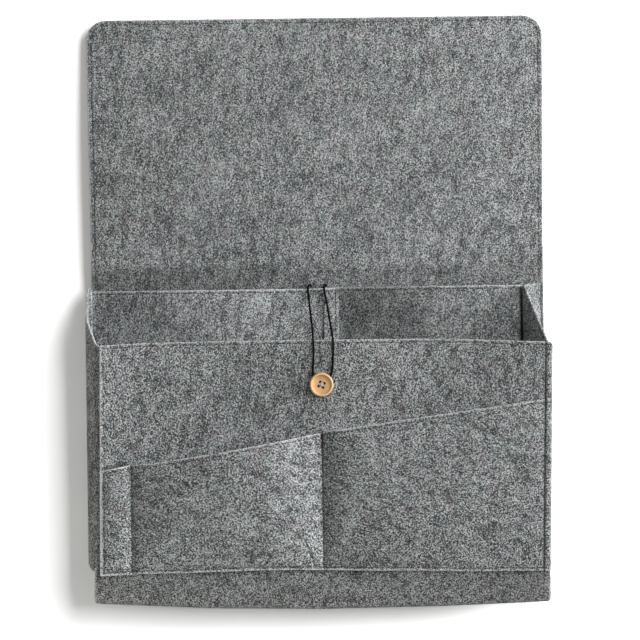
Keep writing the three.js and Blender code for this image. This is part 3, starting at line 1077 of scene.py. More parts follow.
# pocket sheet: sewn down at four upright seams, standing off between them
pockets = {
    "topX": [-186, -158.8, -140, -85, -38, -12, 2.3, 4.5, 8, 22, 80, 134, 172, 194],
    "topZ": [-45, -39.9, -38.5, -30.5, -22.2, -17.3, -14.7, -13.2, -12.8, -11.5, -3.4, 3.5, 8.7, 11.6],
    "penSeam": -158.8,
    "middleSeam": 2.3,
    "seamDepth": 0.35,
    "seamWidth": 0.8,
    "stitchBelow": 2.8,
    "bottomStitch": 2.6,
    "bottomDepth": 0.4,
    "bottomWidth": 0.9,
    "fullAt": 0.62,
    "risePower": 0.8,
    "liftBelow": -60,
    "creaseTop": (-13.5, -107.0),
    "creaseLow": (-5.6, -128.0),
    "creaseDepth": 0.6,
    "creaseWidth": 0.9,
    "creaseRows": (8.5, 12.5, 16.5, 20.5, 24.5, 28.5),
    "tall": 120.0,
    "lowBand": 8,
    "topBand": 0.9,
    "middleZ": -90.0,
    "leftCut": 1.7,
    "coarse": 4.0,
}


def pocketTop(x):
    return np.interp(x, pockets["topX"], pockets["topZ"])


# front of the box
front = {
    "leftTop": -183.55,
    "leftLow": -185.95,
    "rightTop": 197.4,
    "rightLow": 193.2,
    "span": 379.0,
    "cornerRadius": 4.0,
    "cornerSoft": 20,
    "stitchBelow": 2.8,
    "stitchDepth": 0.3,
    "stitchWidth": 0.7,
    "leftSeamTop": 2.5,
    "leftSeamLow": 3.6,
    "leftSeamFrom": -40,
    "rightSeam": 5.7,
    "rightDepth": 0.8,
    "rightWidth": 1.0,
    "seamShade": 0.75,
    "seamShadeWidth": 0.95,
    "mouthShade": 0.6,
    "mouthX": ((-184, -178), (-164, -158)),
    "mouthAbove": 1.2,
    "mouthWidth": 1.6,
    "mouthRows": (-42.5, -39.5),
    "leftFlare": 4.0,
    "flareReach": 14,
    "leftLean": 3.5,
    "leanX": (-185, -12),
    "rightHollow": 4.0,
    "hollowFrom": 14,
    "wave": (80, 2.5, 1.0),
    "calmRound": (14, 40),
    "calmRight": (0, 40),
    "fullZ": 40,
    "rightLip": 1.8,
    "tone": 0.9,
    "leftTone": 0.2,
    "leftToneX": (-184, -60),
    "coarse": 4.5,
}


def frontEdges(z):
    t = (plan["frontTop"] - np.asarray(z, float)) / (plan["frontTop"] - plan["bottomZ"])
    left = between(front["leftTop"], front["leftLow"], t)
    right = between(front["rightTop"], front["rightLow"], t)
    return left, right


# the left seam runs nearer the edge towards the top
def leftSeam(z):
    heights = [front["leftSeamFrom"], plan["frontTop"]]
    return np.interp(z, heights, [front["leftSeamLow"], front["leftSeamTop"]])


# the right seam is drawn in deep, so little light reaches its bottom
def seamShade(x, right):
    return 1 - groove(right - x - front["rightSeam"], front["seamShade"], front["seamShadeWidth"])


# the upper edge is pulled up by the elastic and sinks at its ends; the lower edge arches in the middle
frontCurves = {
    "topX": [-184, -150, -100, -50, 15, 90, 120, 155, 180, 197],
    "topRise": [-0.8, 0.8, 1.5, 1.8, 1.8, 1.6, 0.9, -0.6, -1.6, -2.2],
    "topZ": (15, 60),
    "lowX": [-186, -150, -115, -85, -50, -17, 17, 50, 85, 120, 193],
    "lowRise": [-0.8, 0.7, 1, 1.7, 2.5, 2.5, 1.7, 0.9, 0.6, -0.6, -0.8],
    "lowZ": (-127.5, -85),
}


def frontLift(x, z):
    top = np.interp(x, frontCurves["topX"], frontCurves["topRise"])
    low = np.interp(x, frontCurves["lowX"], frontCurves["lowRise"])
    return top * smooth(*frontCurves["topZ"], z) + low * (1 - smooth(*frontCurves["lowZ"], z))


def frontMiddle(x, z):
    x, z = np.broadcast_arrays(np.asarray(x, float), np.asarray(z, float))
    left, right = frontEdges(z)
    start = front["hollowFrom"]
    flare = front["leftFlare"] * np.exp(-(x - left) / front["flareReach"])
    lean = front["leftLean"] * (1 - smooth(*front["leanX"], x))
    hollow = front["rightHollow"] * np.sin(np.pi * np.clip((x - start) / (right - start), 0, 1))
    uneven = ripple(x, z, *front["wave"]) * smooth(*front["calmRight"], right - x)
    uneven = uneven * smooth(*front["calmRound"], np.abs(x - plan["buttonX"]))
    # beyond its seam the right edge turns back
    lip = front["rightLip"] * np.clip((x - right) / front["rightSeam"] + 1, 0, 1) ** 2
    out = (flare + lean - hollow + uneven) * smooth(plan["bottomZ"], front["fullZ"], z)
    return plan["frontMid"] + lip - out


# distance from the four edges of a front sheet
def frontDistance(x, z, left, right, top):
    across = np.minimum(x - left, right - x)
    return np.minimum(across, np.minimum(top - z, z - plan["bottomZ"]))


def buildFront():
    top, low, span = plan["frontTop"], plan["bottomZ"], front["span"]
    sewn = top - front["stitchBelow"]
    z = gridLine(low, top, front["coarse"], (*front["mouthRows"], sewn))
    seams = (front["leftSeamTop"], front["leftSeamLow"], span - front["rightSeam"])
    share = gridLine(0, span, front["coarse"], seams) / span
    zz, ss = np.meshgrid(z, share, indexing="ij")
    left, right = frontEdges(zz)
    xx = between(left, right, ss)
    distance = frontDistance(xx, zz, left, right, top)
    half = rimHalf(distance)
    for off in (zz - sewn, xx - left - leftSeam(zz)):
        half -= groove(off, front["stitchDepth"], front["stitchWidth"])
    half -= groove(right - xx - front["rightSeam"], front["rightDepth"], front["rightWidth"])
    # painted light: the front is coloured lighter towards its left edge, where the felt turns towards
    # the light
    tone = front["tone"] * (1 + front["leftTone"] * (1 - smooth(*front["leftToneX"], xx)))
    # the mouth of the pen pocket keeps the light off the felt just above it
    mouth = groove(zz - pocketTop(xx) - front["mouthAbove"], front["mouthShade"], front["mouthWidth"])
    tone = tone * seamShade(xx, right) * (1 - mouth * bandShare(xx, *front["mouthX"]))
    # the upper right corner is cut round
    drop = roundedIn(front["cornerRadius"], front["cornerRadius"] - (right - xx))
    lift = frontLift(xx, zz) - drop * smooth(top - front["cornerSoft"], top, zz)
    middle = np.stack([xx, frontMiddle(xx, zz), zz + lift], -1)
    return feltMesh("frontPanel", middle, half, distance, tone)


frontObject = buildFront()
frontObject.data.materials.append(feltFront)
print("stage: front panel")


# each compartment has its own section from seam to seam: pen slot, phone pocket and wide pocket
pocketSections = (
    {
        "swell": 2.5,
        "shares": [0, 0.06, 0.12, 0.5, 0.8, 1],
        "heights": [0, 0.7, 0.8, 1, 0.9, 0],
        "blur": 5,
    },
    {
        "swell": 14.0,
        "shares": [0, 0.045, 0.097, 0.149, 0.515, 0.724, 0.777, 0.881, 1],
        "heights": [0, 0.41, 0.59, 0.69, 1, 0.93, 0.8, 0.445, 0],
        "blur": 5,
    },
    {
        "swell": 6.5,
        "shares": [0, 0.033, 0.077, 0.122, 0.3, 0.6, 0.9, 1],
        "heights": [0, 0.6, 0.93, 0.98, 1, 0.8, 0.32, 0],
        "blur": 5,
    },
)


def pocketOut(x, z):
    x, z = np.broadcast_arrays(np.asarray(x, float), np.asarray(z, float))
    left, right = frontEdges(z)
    seams = [left + leftSeam(z), pockets["penSeam"], pockets["middleSeam"], right - front["rightSeam"]]
    low = plan["bottomZ"] + pockets["bottomStitch"]
    tall = np.clip((z - low) / (pocketTop(x) - low), 0, 1)
    rise = np.sin(np.pi / 2 * np.clip(tall / pockets["fullAt"], 0, 1)) ** pockets["risePower"]
    spans = zip(seams, seams[1:], pocketSections)
    return rise * sum(sectionOut(x, start, stop, *part.values()) for start, stop, part in spans)


def pocketMiddle(x, z):
    return frontMiddle(x, z) + plan["pocketMid"] - plan["frontMid"] - pocketOut(x, z)


# below, the pocket sheet follows the front's lower edge
def pocketLift(x, z):
    return frontLift(x, np.minimum(z, pockets["liftBelow"]))


# distance from the short slanting crease beside the middle seam, less than 0 at its left
def creaseDistance(x, z):
    start = np.array(pockets["creaseTop"])
    along = np.array(pockets["creaseLow"]) - start
    dx, dz = x - start[0], z - start[1]
    share = np.clip((dx * along[0] + dz * along[1]) / along.dot(along), 0, 1)
    side = np.sign(along[0] * dz - along[1] * dx)
    return side * np.hypot(dx - share * along[0], dz - share * along[1])


# light and dark places of the pocket sheet, most of them painted light and painted shade; lines are
# offset, strength and width
pocketShades = {
    "leftTone": 1.04,
    "rightTone": 0.9,
    "seamTone": 0.1,
    "seamToneX": (-45, -5),
    "seamLit": 0.18,
    "seamLitX": (-14, -4),
    "seamLine": (0.9, 0.5, 0.9),
    "creaseShaded": (0.4, 0.5, 0.8),
    "creaseLit": (-1.4, 0.3, 0.8),
    "penTone": 0.14,
    "penToneX": (-184, -168),
    "penRidge": 0.3,
    "penRidgeX": (-170, -160),
    "penLine": (-160.7, 0.3, 0.9),
    "flankTone": 0.25,
    "flankX": (-158, -150),
    "shadeTone": 0.08,
    "shadeX": (15, 60),
    "topEdgeLight": 0.9,
    "topRightX": (20, 50),
    "topLeftX": (-176, -164),
}


def shadeLine(distance, line):
    offset, strength, width = line
    return groove(distance - offset, strength, width)


def pocketTone(x, right, crease):
    shades = pocketShades
    atLeft, atRight = x < pockets["middleSeam"], x > pockets["middleSeam"]
    inPen = x < pockets["penSeam"]
    tone = np.where(atLeft, shades["leftTone"], shades["rightTone"])
    # painted light: the phone pocket's flank towards the middle seam faces the light and is coloured
    # lighter
    pale = shades["seamTone"] * smooth(*shades["seamToneX"], x)
    pale = pale + shades["seamLit"] * smooth(*shades["seamLitX"], x)
    tone = tone * (1 + pale * atLeft)
    # painted shade: little light reaches the middle seam, and the crease is painted dark on its shaded
    # right and light on its lit left
    tone = tone * (1 - shadeLine(x - pockets["middleSeam"], shades["seamLine"]))
    tone = tone * (1 - shadeLine(crease, shades["creaseShaded"]))
    tone = tone * (1 + shadeLine(crease, shades["creaseLit"]))
    # painted light makes the pen slot brightest along its ridge, and painted shade darkens the flank
    # beyond its seam
    ridge = shades["penRidge"] * smooth(*shades["penRidgeX"], x) + shadeLine(x, shades["penLine"])
    tone = tone * (1 + (shades["penTone"] * smooth(*shades["penToneX"], x) + ridge) * inPen)
    tone = tone * (1 - shades["flankTone"] * (1 - smooth(*shades["flankX"], x)) * (1 - inPen))
    # painted shade on the wide pocket's flank beside the middle seam, which turns from the light
    tone = tone * (1 - shades["shadeTone"] * atRight * (1 - smooth(*shades["shadeX"], x)))
    return tone * seamShade(x, right)


# painted light: the cut upper edge is lifted paler beside the middle seam and at the pen slot, where
# the pocket's bulges shade it
def pocketEdgeLight(x):
    beyondSeam = (x > pockets["middleSeam"]) * (1 - smooth(*pocketShades["topRightX"], x))
    atPen = 1 - smooth(*pocketShades["topLeftX"], x)
    return 1 + pocketShades["topEdgeLight"] * (beyondSeam + atPen)


def buildPockets():
    low, span, tall = plan["bottomZ"], front["span"], pockets["tall"]
    left, right = frontEdges(pockets["middleZ"])
    creaseMarks = np.linspace(pockets["creaseTop"][0], pockets["creaseLow"][0], 3)
    inner = np.array([pockets["penSeam"], pockets["middleSeam"], *creaseMarks])
    inner = (inner - left) * span / (right - left)
    shareMarks = (front["leftSeamLow"], *inner, span - front["rightSeam"])
    share = gridLine(0, span, pockets["coarse"], shareMarks) / span
    rowMarks = (pockets["bottomStitch"], *pockets["creaseRows"], tall - pockets["stitchBelow"])
    upright = gridLine(0, tall, pockets["coarse"], rowMarks) / tall
    uu, ss = np.meshgrid(upright, share, indexing="ij")
    top = pocketTop(between(left, right, ss))
    # rows keep their distance from the lower and the upper edge
    zz = between(low, top, uu)
    zz = np.where(uu > pockets["topBand"], top - (1 - uu) * tall, zz)
    zz = np.where(uu * tall < pockets["lowBand"], low + uu * tall, zz)
    left, right = frontEdges(zz)
    xx = between(left, right, ss)
    distance = frontDistance(xx, zz, left, right, top)
    crease = creaseDistance(xx, zz)
    half = rimHalf(distance)
    half -= groove(top - zz - pockets["stitchBelow"], front["stitchDepth"], front["stitchWidth"])
    half -= groove(zz - low - pockets["bottomStitch"], pockets["bottomDepth"], pockets["bottomWidth"])
    half -= groove(xx - left - leftSeam(zz), pockets["seamDepth"], front["stitchWidth"])
    half -= groove(right - xx - front["rightSeam"], front["rightDepth"], front["rightWidth"])
    for seam in ("penSeam", "middleSeam"):
        half -= groove(xx - pockets[seam], pockets["seamDepth"], pockets["seamWidth"])
    half -= groove(crease, pockets["creaseDepth"], pockets["creaseWidth"])
    middle = np.stack([xx, pocketMiddle(xx, zz), zz + pocketLift(xx, zz)], -1)
    edge = np.minimum(np.maximum(distance, 0), (xx - left) / pockets["leftCut"])
    return feltMesh("pocketSheet", middle, half, edge, pocketTone(xx, right, crease), pocketEdgeLight(xx))


pocketObject = buildPockets()
pocketObject.data.materials.append(feltAcross)
print("stage: pocket sheet")


# stitches: thread dashes with a needle hole between them, along sewn lines; the hole is a near-black
# blob of painted shade
stitch = {
    "pitch": 5.0,
    "dash": 3.5,
    "width": 0.8,
    "height": 0.5,
    "hole": 0.9,
    "wobble": 0.07,
    "seed": 5,
}
stitchSizes = ("Pitch", "Dash", "Width", "Height", "Hole")
# what one stitch is made of: sizes along, across and up, lead in pitches, and faces round and along
stitchParts = (
    {"coat": "Thread", "sizes": ("Dash", "Width", "Height"), "lead": 0.0, "segments": 6, "rings": 6},
    {"coat": "Hollow", "sizes": ("Hole", "Hole", "Width"), "lead": 0.36, "segments": 7, "rings": 4},
)


def addInput(tree, name, kind, value=None):
    socket = tree.interface.new_socket(name=name, in_out="INPUT", socket_type=kind)
    if value is not None:
        socket.default_value = value
    return socket.identifier


def stitchTree():
    tree = bpy.data.node_groups.new("stitchRow", "GeometryNodeTree")
    addInput(tree, "Rows", "NodeSocketGeometry")
    names = {}
    for label in stitchSizes:
        names[label] = addInput(tree, label, "NodeSocketFloat", stitch[label.lower()] * mm)
    names["Wobble"] = addInput(tree, "Wobble", "NodeSocketFloat", stitch["wobble"])
    names["Seed"] = addInput(tree, "Seed", "NodeSocketInt", stitch["seed"])
    for part in stitchParts:
        names[part["coat"]] = addInput(tree, part["coat"], "NodeSocketMaterial")
    tree.interface.new_socket(name="Geometry", in_out="OUTPUT", socket_type="NodeSocketGeometry")
    nodes, links = tree.nodes, tree.links
    into = nodes.new("NodeGroupInput")
    out = nodes.new("NodeGroupOutput")
    curve = nodes.new("GeometryNodeMeshToCurve")
    links.new(into.outputs["Rows"], curve.inputs[0])
    even = nodes.new("GeometryNodeResampleCurve")
    even.mode = "LENGTH"
    links.new(curve.outputs[0], even.inputs["Curve"])
    links.new(into.outputs["Pitch"], even.inputs["Length"])
    # each stitch lies along the row, faces away from the felt and is turned a little at random
    tangent = nodes.new("GeometryNodeInputTangent")
    facing = nodes.new("GeometryNodeInputNamedAttribute")
    facing.data_type = "FLOAT_VECTOR"
    facing.inputs["Name"].default_value = "facing"
    lie = nodes.new("FunctionNodeAlignRotationToVector")
    lie.axis = "X"
    links.new(tangent.outputs[0], lie.inputs["Vector"])
    stand = nodes.new("FunctionNodeAlignRotationToVector")
    stand.axis = "Z"
    stand.pivot_axis = "X"
    links.new(lie.outputs["Rotation"], stand.inputs["Rotation"])
    links.new(facing.outputs["Attribute"], stand.inputs["Vector"])
    shake = nodes.new("FunctionNodeRandomValue")
    shake.data_type = "FLOAT"
    links.new(mathNode(tree, "MULTIPLY", into.outputs["Wobble"], -1.0), shake.inputs[2])
    links.new(into.outputs["Wobble"], shake.inputs[3])
    links.new(into.outputs["Seed"], shake.inputs["Seed"])
    spin = nodes.new("FunctionNodeAxisAngleToRotation")
    spin.inputs["Axis"].default_value = (0, 0, 1)
    links.new(shake.outputs[1], spin.inputs["Angle"])
    turn = nodes.new("FunctionNodeRotateRotation")
    turn.rotation_space = "LOCAL"
    links.new(stand.outputs["Rotation"], turn.inputs["Rotation"])
    links.new(spin.outputs["Rotation"], turn.inputs["Rotate By"])
    # one dash and one hole, both low in faces
    parts = nodes.new("GeometryNodeJoinGeometry")
    for part in stitchParts:
        ball = nodes.new("GeometryNodeMeshUVSphere")
        ball.inputs["Segments"].default_value = part["segments"]
        ball.inputs["Rings"].default_value = part["rings"]
        ball.inputs["Radius"].default_value = 0.5
        turned = nodes.new("GeometryNodeTransform")
        turned.inputs["Rotation"].default_value = (0, math.radians(90), 0)
        links.new(ball.outputs["Mesh"], turned.inputs["Geometry"])
        size = nodes.new("ShaderNodeCombineXYZ")
        for k, source in enumerate(part["sizes"]):
            links.new(into.outputs[source], size.inputs[k])
        place = nodes.new("ShaderNodeCombineXYZ")
        links.new(mathNode(tree, "MULTIPLY", into.outputs["Pitch"], part["lead"]), place.inputs[0])
        pull = nodes.new("GeometryNodeTransform")
        links.new(turned.outputs["Geometry"], pull.inputs["Geometry"])
        links.new(size.outputs[0], pull.inputs["Scale"])
        links.new(place.outputs[0], pull.inputs["Translation"])
        coat = nodes.new("GeometryNodeSetMaterial")
        links.new(pull.outputs["Geometry"], coat.inputs["Geometry"])
        links.new(into.outputs[part["coat"]], coat.inputs["Material"])
        links.new(coat.outputs["Geometry"], parts.inputs["Geometry"])
    scatter = nodes.new("GeometryNodeInstanceOnPoints")
    links.new(even.outputs["Curve"], scatter.inputs["Points"])
    links.new(parts.outputs["Geometry"], scatter.inputs["Instance"])
    links.new(turn.outputs["Rotation"], scatter.inputs["Rotation"])
    real = nodes.new("GeometryNodeRealizeInstances")
    links.new(scatter.outputs["Instances"], real.inputs["Geometry"])
    shade = nodes.new("GeometryNodeSetShadeSmooth")
    links.new(real.outputs["Geometry"], shade.inputs["Geometry"])
    links.new(shade.outputs["Geometry"], out.inputs[0])
    return tree, names


rowTree, rowInputs = stitchTree()


# rows: each a list of points in mm and the way the thread faces; the result is one plain mesh
def sewRows(name, rows, pitch=stitch["pitch"], thread=sewThread):
    verts, edges, facing = [], [], []
    for points, way in rows:
        start = len(verts)
        verts += [tuple(np.asarray(p, float) * mm) for p in points]
        facing += [way] * len(points)
        edges += [(start + i, start + i + 1) for i in range(len(points) - 1)]
    guide = bpy.data.meshes.new(name + "Guide")
    guide.from_pydata(verts, edges, [])
    attribute = guide.attributes.new("facing", "FLOAT_VECTOR", "POINT")
    attribute.data.foreach_set("vector", np.array(facing, np.float32).ravel())
    thing = addObject(name, guide)
    sewn = thing.modifiers.new("stitchRow", "NODES")
    sewn.node_group = rowTree
    for label in stitchSizes:
        share = pitch / stitch["pitch"] if label in ("Pitch", "Dash") else 1
        sewn[rowInputs[label]] = stitch[label.lower()] * mm * share
    sewn[rowInputs["Wobble"]] = stitch["wobble"]
    sewn[rowInputs["Seed"]] = stitch["seed"]
    sewn[rowInputs["Thread"]] = thread
    sewn[rowInputs["Hollow"]] = needleHole
    solid = bakedMesh(thing)
    thing.modifiers.remove(sewn)
    thing.data = solid
    bpy.data.meshes.remove(guide)
    solid.name = name
    return thing


ahead = (0, -1, 0)
behind = (0, 1, 0)


def straight(start, stop, step=3.0):
    start, stop = np.array(start, float), np.array(stop, float)
    count = max(2, int(np.linalg.norm(stop - start) / step))
    return between(start, stop, np.linspace(0, 1, count)[:, None])


# a row laid on a sheet: points across and up, put on its front or rear face at the groove's floor
def onSheet(flat, middle, way, depth, lift=None):
    x, z = np.asarray(flat, float).T
    y = middle(x, z) + way[1] * (feltThick / 2 - depth)
    points = np.stack([x, y, z if lift is None else z + lift(x, z)], -1)
    return points, way


backRows = {
    "side": 110,
    "corner": 9,
    "top": 90,
    "sideFrom": 8,
    "seenAbove": 112,
    "lowReach": 184,
    "lowCount": 90,
}


# along the edge, up the left side, over the top and down the right side
def perimeter(inset):
    r, top = backSheet["topRadius"], plan["flapTop"]
    heights = np.linspace(plan["bottomZ"] + backRows["sideFrom"], top - r, backRows["side"])
    left = [(inset - float(backEdge(z)), z) for z in heights]
    centre = (r - float(backEdge(top)), top - r)
    for a in np.radians(np.linspace(0, 90, backRows["corner"] + 1)[1:]):
        left.append((centre[0] - (r - inset) * math.cos(a), centre[1] + (r - inset) * math.sin(a)))
    reach = backSheet["halfWidth"] - r
    across = [(x, top - inset) for x in np.linspace(-reach, reach, backRows["top"])[1:]]
    return left + across + [(-x, z) for x, z in left[::-1]]


depth = backSheet["grooveDepth"]
around = perimeter(backSheet["stitchInset"])
aboveBox = [p for p in around if p[1] > backRows["seenAbove"]]
lowLine = np.linspace(-backRows["lowReach"], backRows["lowReach"], backRows["lowCount"])
lowRow = [(x, plan["bottomZ"] + backSheet["stitchInset"]) for x in lowLine]
flapStitches = sewRows("flapStitches", [
    onSheet(aboveBox, backMiddle, ahead, depth),
    onSheet(around, backMiddle, behind, depth),
    onSheet(lowRow, backMiddle, behind, depth),
])

boxSewing = {
    "topX": (-188, 170),
    "topCount": 120,
    "dividerProud": 0.05,
    "dividerZ": (102, -122),
    "rightX": 189.7,
    "rightProud": 0.85,
    "rightZ": (107, -124),
}
insideTop = plan["pocketBackTop"] - pocketBack["stitchBelow"]
insideRow = [(x, insideTop) for x in np.linspace(*boxSewing["topX"], boxSewing["topCount"])]
boxRows = [onSheet(insideRow, pocketBackMiddle, ahead, pocketBack["grooveDepth"], pocketBackSag)]
dividerY = rearY - boxSewing["dividerProud"]
for x in pocketBack["dividerSeams"]:
    boxRows.append((straight(*[(x, dividerY, z) for z in boxSewing["dividerZ"]]), ahead))
rightX, rightY = boxSewing["rightX"], rearY - boxSewing["rightProud"]
boxRows.append((straight(*[(rightX, rightY, z) for z in boxSewing["rightZ"]]), ahead))
boxStitches = sewRows("boxStitches", boxRows)


# where the upright seams of the front run
def leftSeamX(z):
    return float(frontEdges(z)[0] + leftSeam(z))


def rightSeamX(z):
    return float(frontEdges(z)[1]) - front["rightSeam"]


def penSeamX(z):
    return pockets["penSeam"]


def middleSeamX(z):
    return pockets["middleSeam"]


# rows on the front: depths are those of the grooves they lie in, gaps are left at their ends
frontSewing = {
    "leftX": -182,
    "rightX": 190,
    "slopeFrom": -50,
    "slopeTo": 0,
    "depth": 0.3,
    "lowDepth": 0.4,
    "rightDepth": 0.7,
    "insideDepth": 0.1,
    "topGap": 3,
    "aboveMouth": 2,
    "belowMouth": 4,
    "lowGap": 3,
    "columnTopGap": 1.5,
    "columnLowGap": 2,
    "acrossCount": 120,
    "slopeCount": 160,
    "upCount": 40,
    "rightTopCount": 30,
    "rightLowCount": 50,
}


def rowAcross(z):
    return [(x, z) for x in np.linspace(leftSeamX(z), rightSeamX(z), frontSewing["acrossCount"])]


def rowUp(seamX, start, stop, count=frontSewing["upCount"]):
    return [(seamX(z), z) for z in np.linspace(start, stop, count)]


plainDepth, rightDepth = frontSewing["depth"], frontSewing["rightDepth"]
topZ = plan["frontTop"] - front["stitchBelow"]
lowZ = plan["bottomZ"] + pockets["bottomStitch"]
upperZ, lowerZ = topZ - frontSewing["topGap"], lowZ + frontSewing["lowGap"]
leftTopZ, rightTopZ = pocketTop(frontSewing["leftX"]), pocketTop(frontSewing["rightX"])
penTopZ, middleTopZ = pocketTop(pockets["penSeam"]), pocketTop(pockets["middleSeam"])
slopeEnds = leftSeamX(frontSewing["slopeFrom"]), rightSeamX(frontSewing["slopeTo"])
slopeX = np.linspace(*slopeEnds, frontSewing["slopeCount"])
above, below = frontSewing["aboveMouth"], frontSewing["belowMouth"]
bareRows = [
    (rowAcross(topZ), plainDepth),
    (rowUp(leftSeamX, upperZ, leftTopZ + above), plainDepth),
    (rowUp(rightSeamX, upperZ, rightTopZ + above, frontSewing["rightTopCount"]), rightDepth),
]
columnRows = []
for seamX, mouthZ in ((penSeamX, penTopZ), (middleSeamX, middleTopZ)):
    column = rowUp(seamX, mouthZ - frontSewing["columnTopGap"], lowZ + frontSewing["columnLowGap"])
    columnRows.append((column, plainDepth))
pocketRows = [
    ([(x, pocketTop(x) - pockets["stitchBelow"]) for x in slopeX], plainDepth),
    (rowAcross(lowZ), frontSewing["lowDepth"]),
    (rowUp(leftSeamX, leftTopZ - below, lowerZ), plainDepth),
    (rowUp(rightSeamX, rightTopZ - below, lowerZ, frontSewing["rightLowCount"]), rightDepth),
    *columnRows,
]
frontRows = [onSheet(flat, frontMiddle, ahead, deep, frontLift) for flat, deep in bareRows]
frontRows += [onSheet(flat, pocketMiddle, ahead, deep, pocketLift) for flat, deep in pocketRows]
# the columns' seams seen from inside the box
for flat, deep in columnRows:
    frontRows.append(onSheet(flat, frontMiddle, behind, frontSewing["insideDepth"]))
frontStitches = sewRows("frontStitches", frontRows)

# close zigzag that holds the upper end of the middle seam
tackPlan = {
    "count": 24,
    "halfWidth": 0.9,
    "below": 0.8,
    "step": 0.5,
    "proud": 1.1,
    "pitch": 1.9,
}
tackRow = []
for k in range(tackPlan["count"]):
    x = pockets["middleSeam"] + tackPlan["halfWidth"] * (-1) ** k
    z = middleTopZ - tackPlan["below"] - tackPlan["step"] * k
    tackRow.append((x, plan["pocketMid"] - tackPlan["proud"], z))
barTack = sewRows("barTack", [(tackRow, ahead)], tackPlan["pitch"], tackThread)


# wooden button; its profile is distance from the middle and height above the rear
button = {
    "rear": -51.6,
    "profile": [
        (0, 0),
        (8.7, 0),
        (9.35, 0.12),
        (9.8, 0.5),
        (10, 1.1),
        (10, 2.6),
        (9.9, 3.25),
        (9.65, 3.7),
        (9.25, 3.95),
        (8.85, 4.0),
        (8.45, 3.9),
        (8.2, 3.55),
        (8.05, 2.9),
        (7.9, 2.0),
        (7.7, 1.55),
        (7.3, 1.3),
        (6.6, 1.15),
        (4.5, 1.1),
        (0, 1.1),
    ],
    "segments": 96,
    "sharpDegrees": 35,
    "holes": 4,
    "holeCircle": 2.6,
    "holeRadius": 1.15,
    "holeTurn": 25.0,
    "holeSides": 24,
    "drillDepths": (0.2, 3, 6),
    "floorDepth": 0.3,
    "floorFacing": 0.9,
    "wallFacing": 0.3,
}


def turnedMesh(name, profile, segments):
    turns = [2 * math.pi * k / segments for k in range(segments)]
    verts = [(0, profile[0][1], 0), (0, profile[-1][1], 0)]
    for r, h in profile[1:-1]:
        verts += [(r * math.cos(t), h, r * math.sin(t)) for t in turns]
    verts = [((bx + x) * mm, (button["rear"] - h) * mm, (bz + z) * mm) for x, h, z in verts]
    faces = []
    last = 2 + (len(profile) - 3) * segments
    for k in range(segments):
        j = (k + 1) % segments
        faces.append((0, 2 + k, 2 + j))
        for a in range(2, last, segments):
            b = a + segments
            faces.append((a + k, b + k, b + j, a + j))
        faces.append((1, last + j, last + k))
    mesh = bpy.data.meshes.new(name)
    mesh.from_pydata(verts, [], faces)
    return mesh


def holeAngle(k):
    return math.radians(button["holeTurn"] + 360 / button["holes"] * k)


# painted shade: the holes' walls and floors are coloured dark, as the shadow inside them
def inHole(face):
    out = math.hypot(face.center.x / mm - bx, face.center.z / mm - bz)
    floor = face.center.y / mm > button["rear"] - button["floorDepth"]
    floor = floor and face.normal.y < -button["floorFacing"]
    wall = abs(face.normal.y) < button["wallFacing"]
    return out < button["holeCircle"] + button["holeRadius"] and (floor or wall)


def buildButton():
    thing = addObject("woodenButton", turnedMesh("woodenButton", button["profile"], button["segments"]))
    drills = []
    for k in range(button["holes"]):
        a = holeAngle(k)
        x, z = bx + button["holeCircle"] * math.cos(a), bz + button["holeCircle"] * math.sin(a)
        line = [(x, button["rear"] - depth, z) for depth in button["drillDepths"]]
        drill, length = tubeMesh("drill", line, button["holeRadius"], button["holeSides"])
        drills.append(addObject("drill%d" % k, drill))
        cut = thing.modifiers.new("hole%d" % k, "BOOLEAN")
        cut.object = drills[-1]
        cut.operation = "DIFFERENCE"
        cut.solver = "EXACT"
    drilled = bakedMesh(thing)
    thing.modifiers.clear()
    thing.data = drilled
    drilled.name = "woodenButton"
    for drill in drills:
        bpy.data.objects.remove(drill)
    drilled.materials.clear()
    drilled.materials.append(buttonWood)
    drilled.materials.append(holeShade)
    for face in drilled.polygons:
        face.material_index = int(inHole(face))
    shadeSmooth(drilled)
    drilled.set_sharp_from_angle(angle=math.radians(button["sharpDegrees"]))
    return thing


buttonObject = buildButton()

# thread across the button's dish, and wound round its shank
buttonThread = {
    "radius": 0.27,
    "sides": 9,
    "perSpan": 6,
    "strandGap": 0.5,
    "dish": 1.1,
    "clear": 0.12,
    "crossing": 0.45,
    "inside": 0.85,
    "root": 0.3,
    "belowDish": 0.6,
    "bendInside": 1.15,
    "crownShare": 0.25,
    "crownSide": 0.1,
    "crownTop": 0.16,
    "windRadius": 1.15,
    "windThread": 0.3,
    "windSides": 8,
    "windFrom": 0.25,
    "windLength": 1.9,
    "windTurns": 6,
    "windPoints": 160,
    "coreRadius": 1.1,
    "coreSides": 16,
    "coreStops": (0.1, 0.9, 1.7, 2.5),
}


def joinMeshes(name, meshes):
    verts, faces = [], []
    for mesh in meshes:
        start = len(verts)
        verts += [tuple(v.co) for v in mesh.vertices]
        faces += [tuple(start + i for i in p.vertices) for p in mesh.polygons]
        bpy.data.meshes.remove(mesh)
    joined = bpy.data.meshes.new(name)
    joined.from_pydata(verts, [], faces)
    shadeSmooth(joined)
    return joined


# out of one hole, over the dish and into the hole opposite; the second pair crosses the first
def strandStops(k):
    r, dish, reach = buttonThread["radius"], buttonThread["dish"], button["holeCircle"]
    lift = dish + r + buttonThread["clear"] + buttonThread["crossing"] * k
    up = reach - buttonThread["inside"]
    rise = [
        (up, buttonThread["root"]),
        (up, dish - buttonThread["belowDish"]),
        (reach - buttonThread["bendInside"], dish + r),
        (reach * buttonThread["crownShare"], lift + buttonThread["crownSide"]),
    ]
    return [(-s, h) for s, h in rise] + [(0, lift + buttonThread["crownTop"])] + rise[::-1]


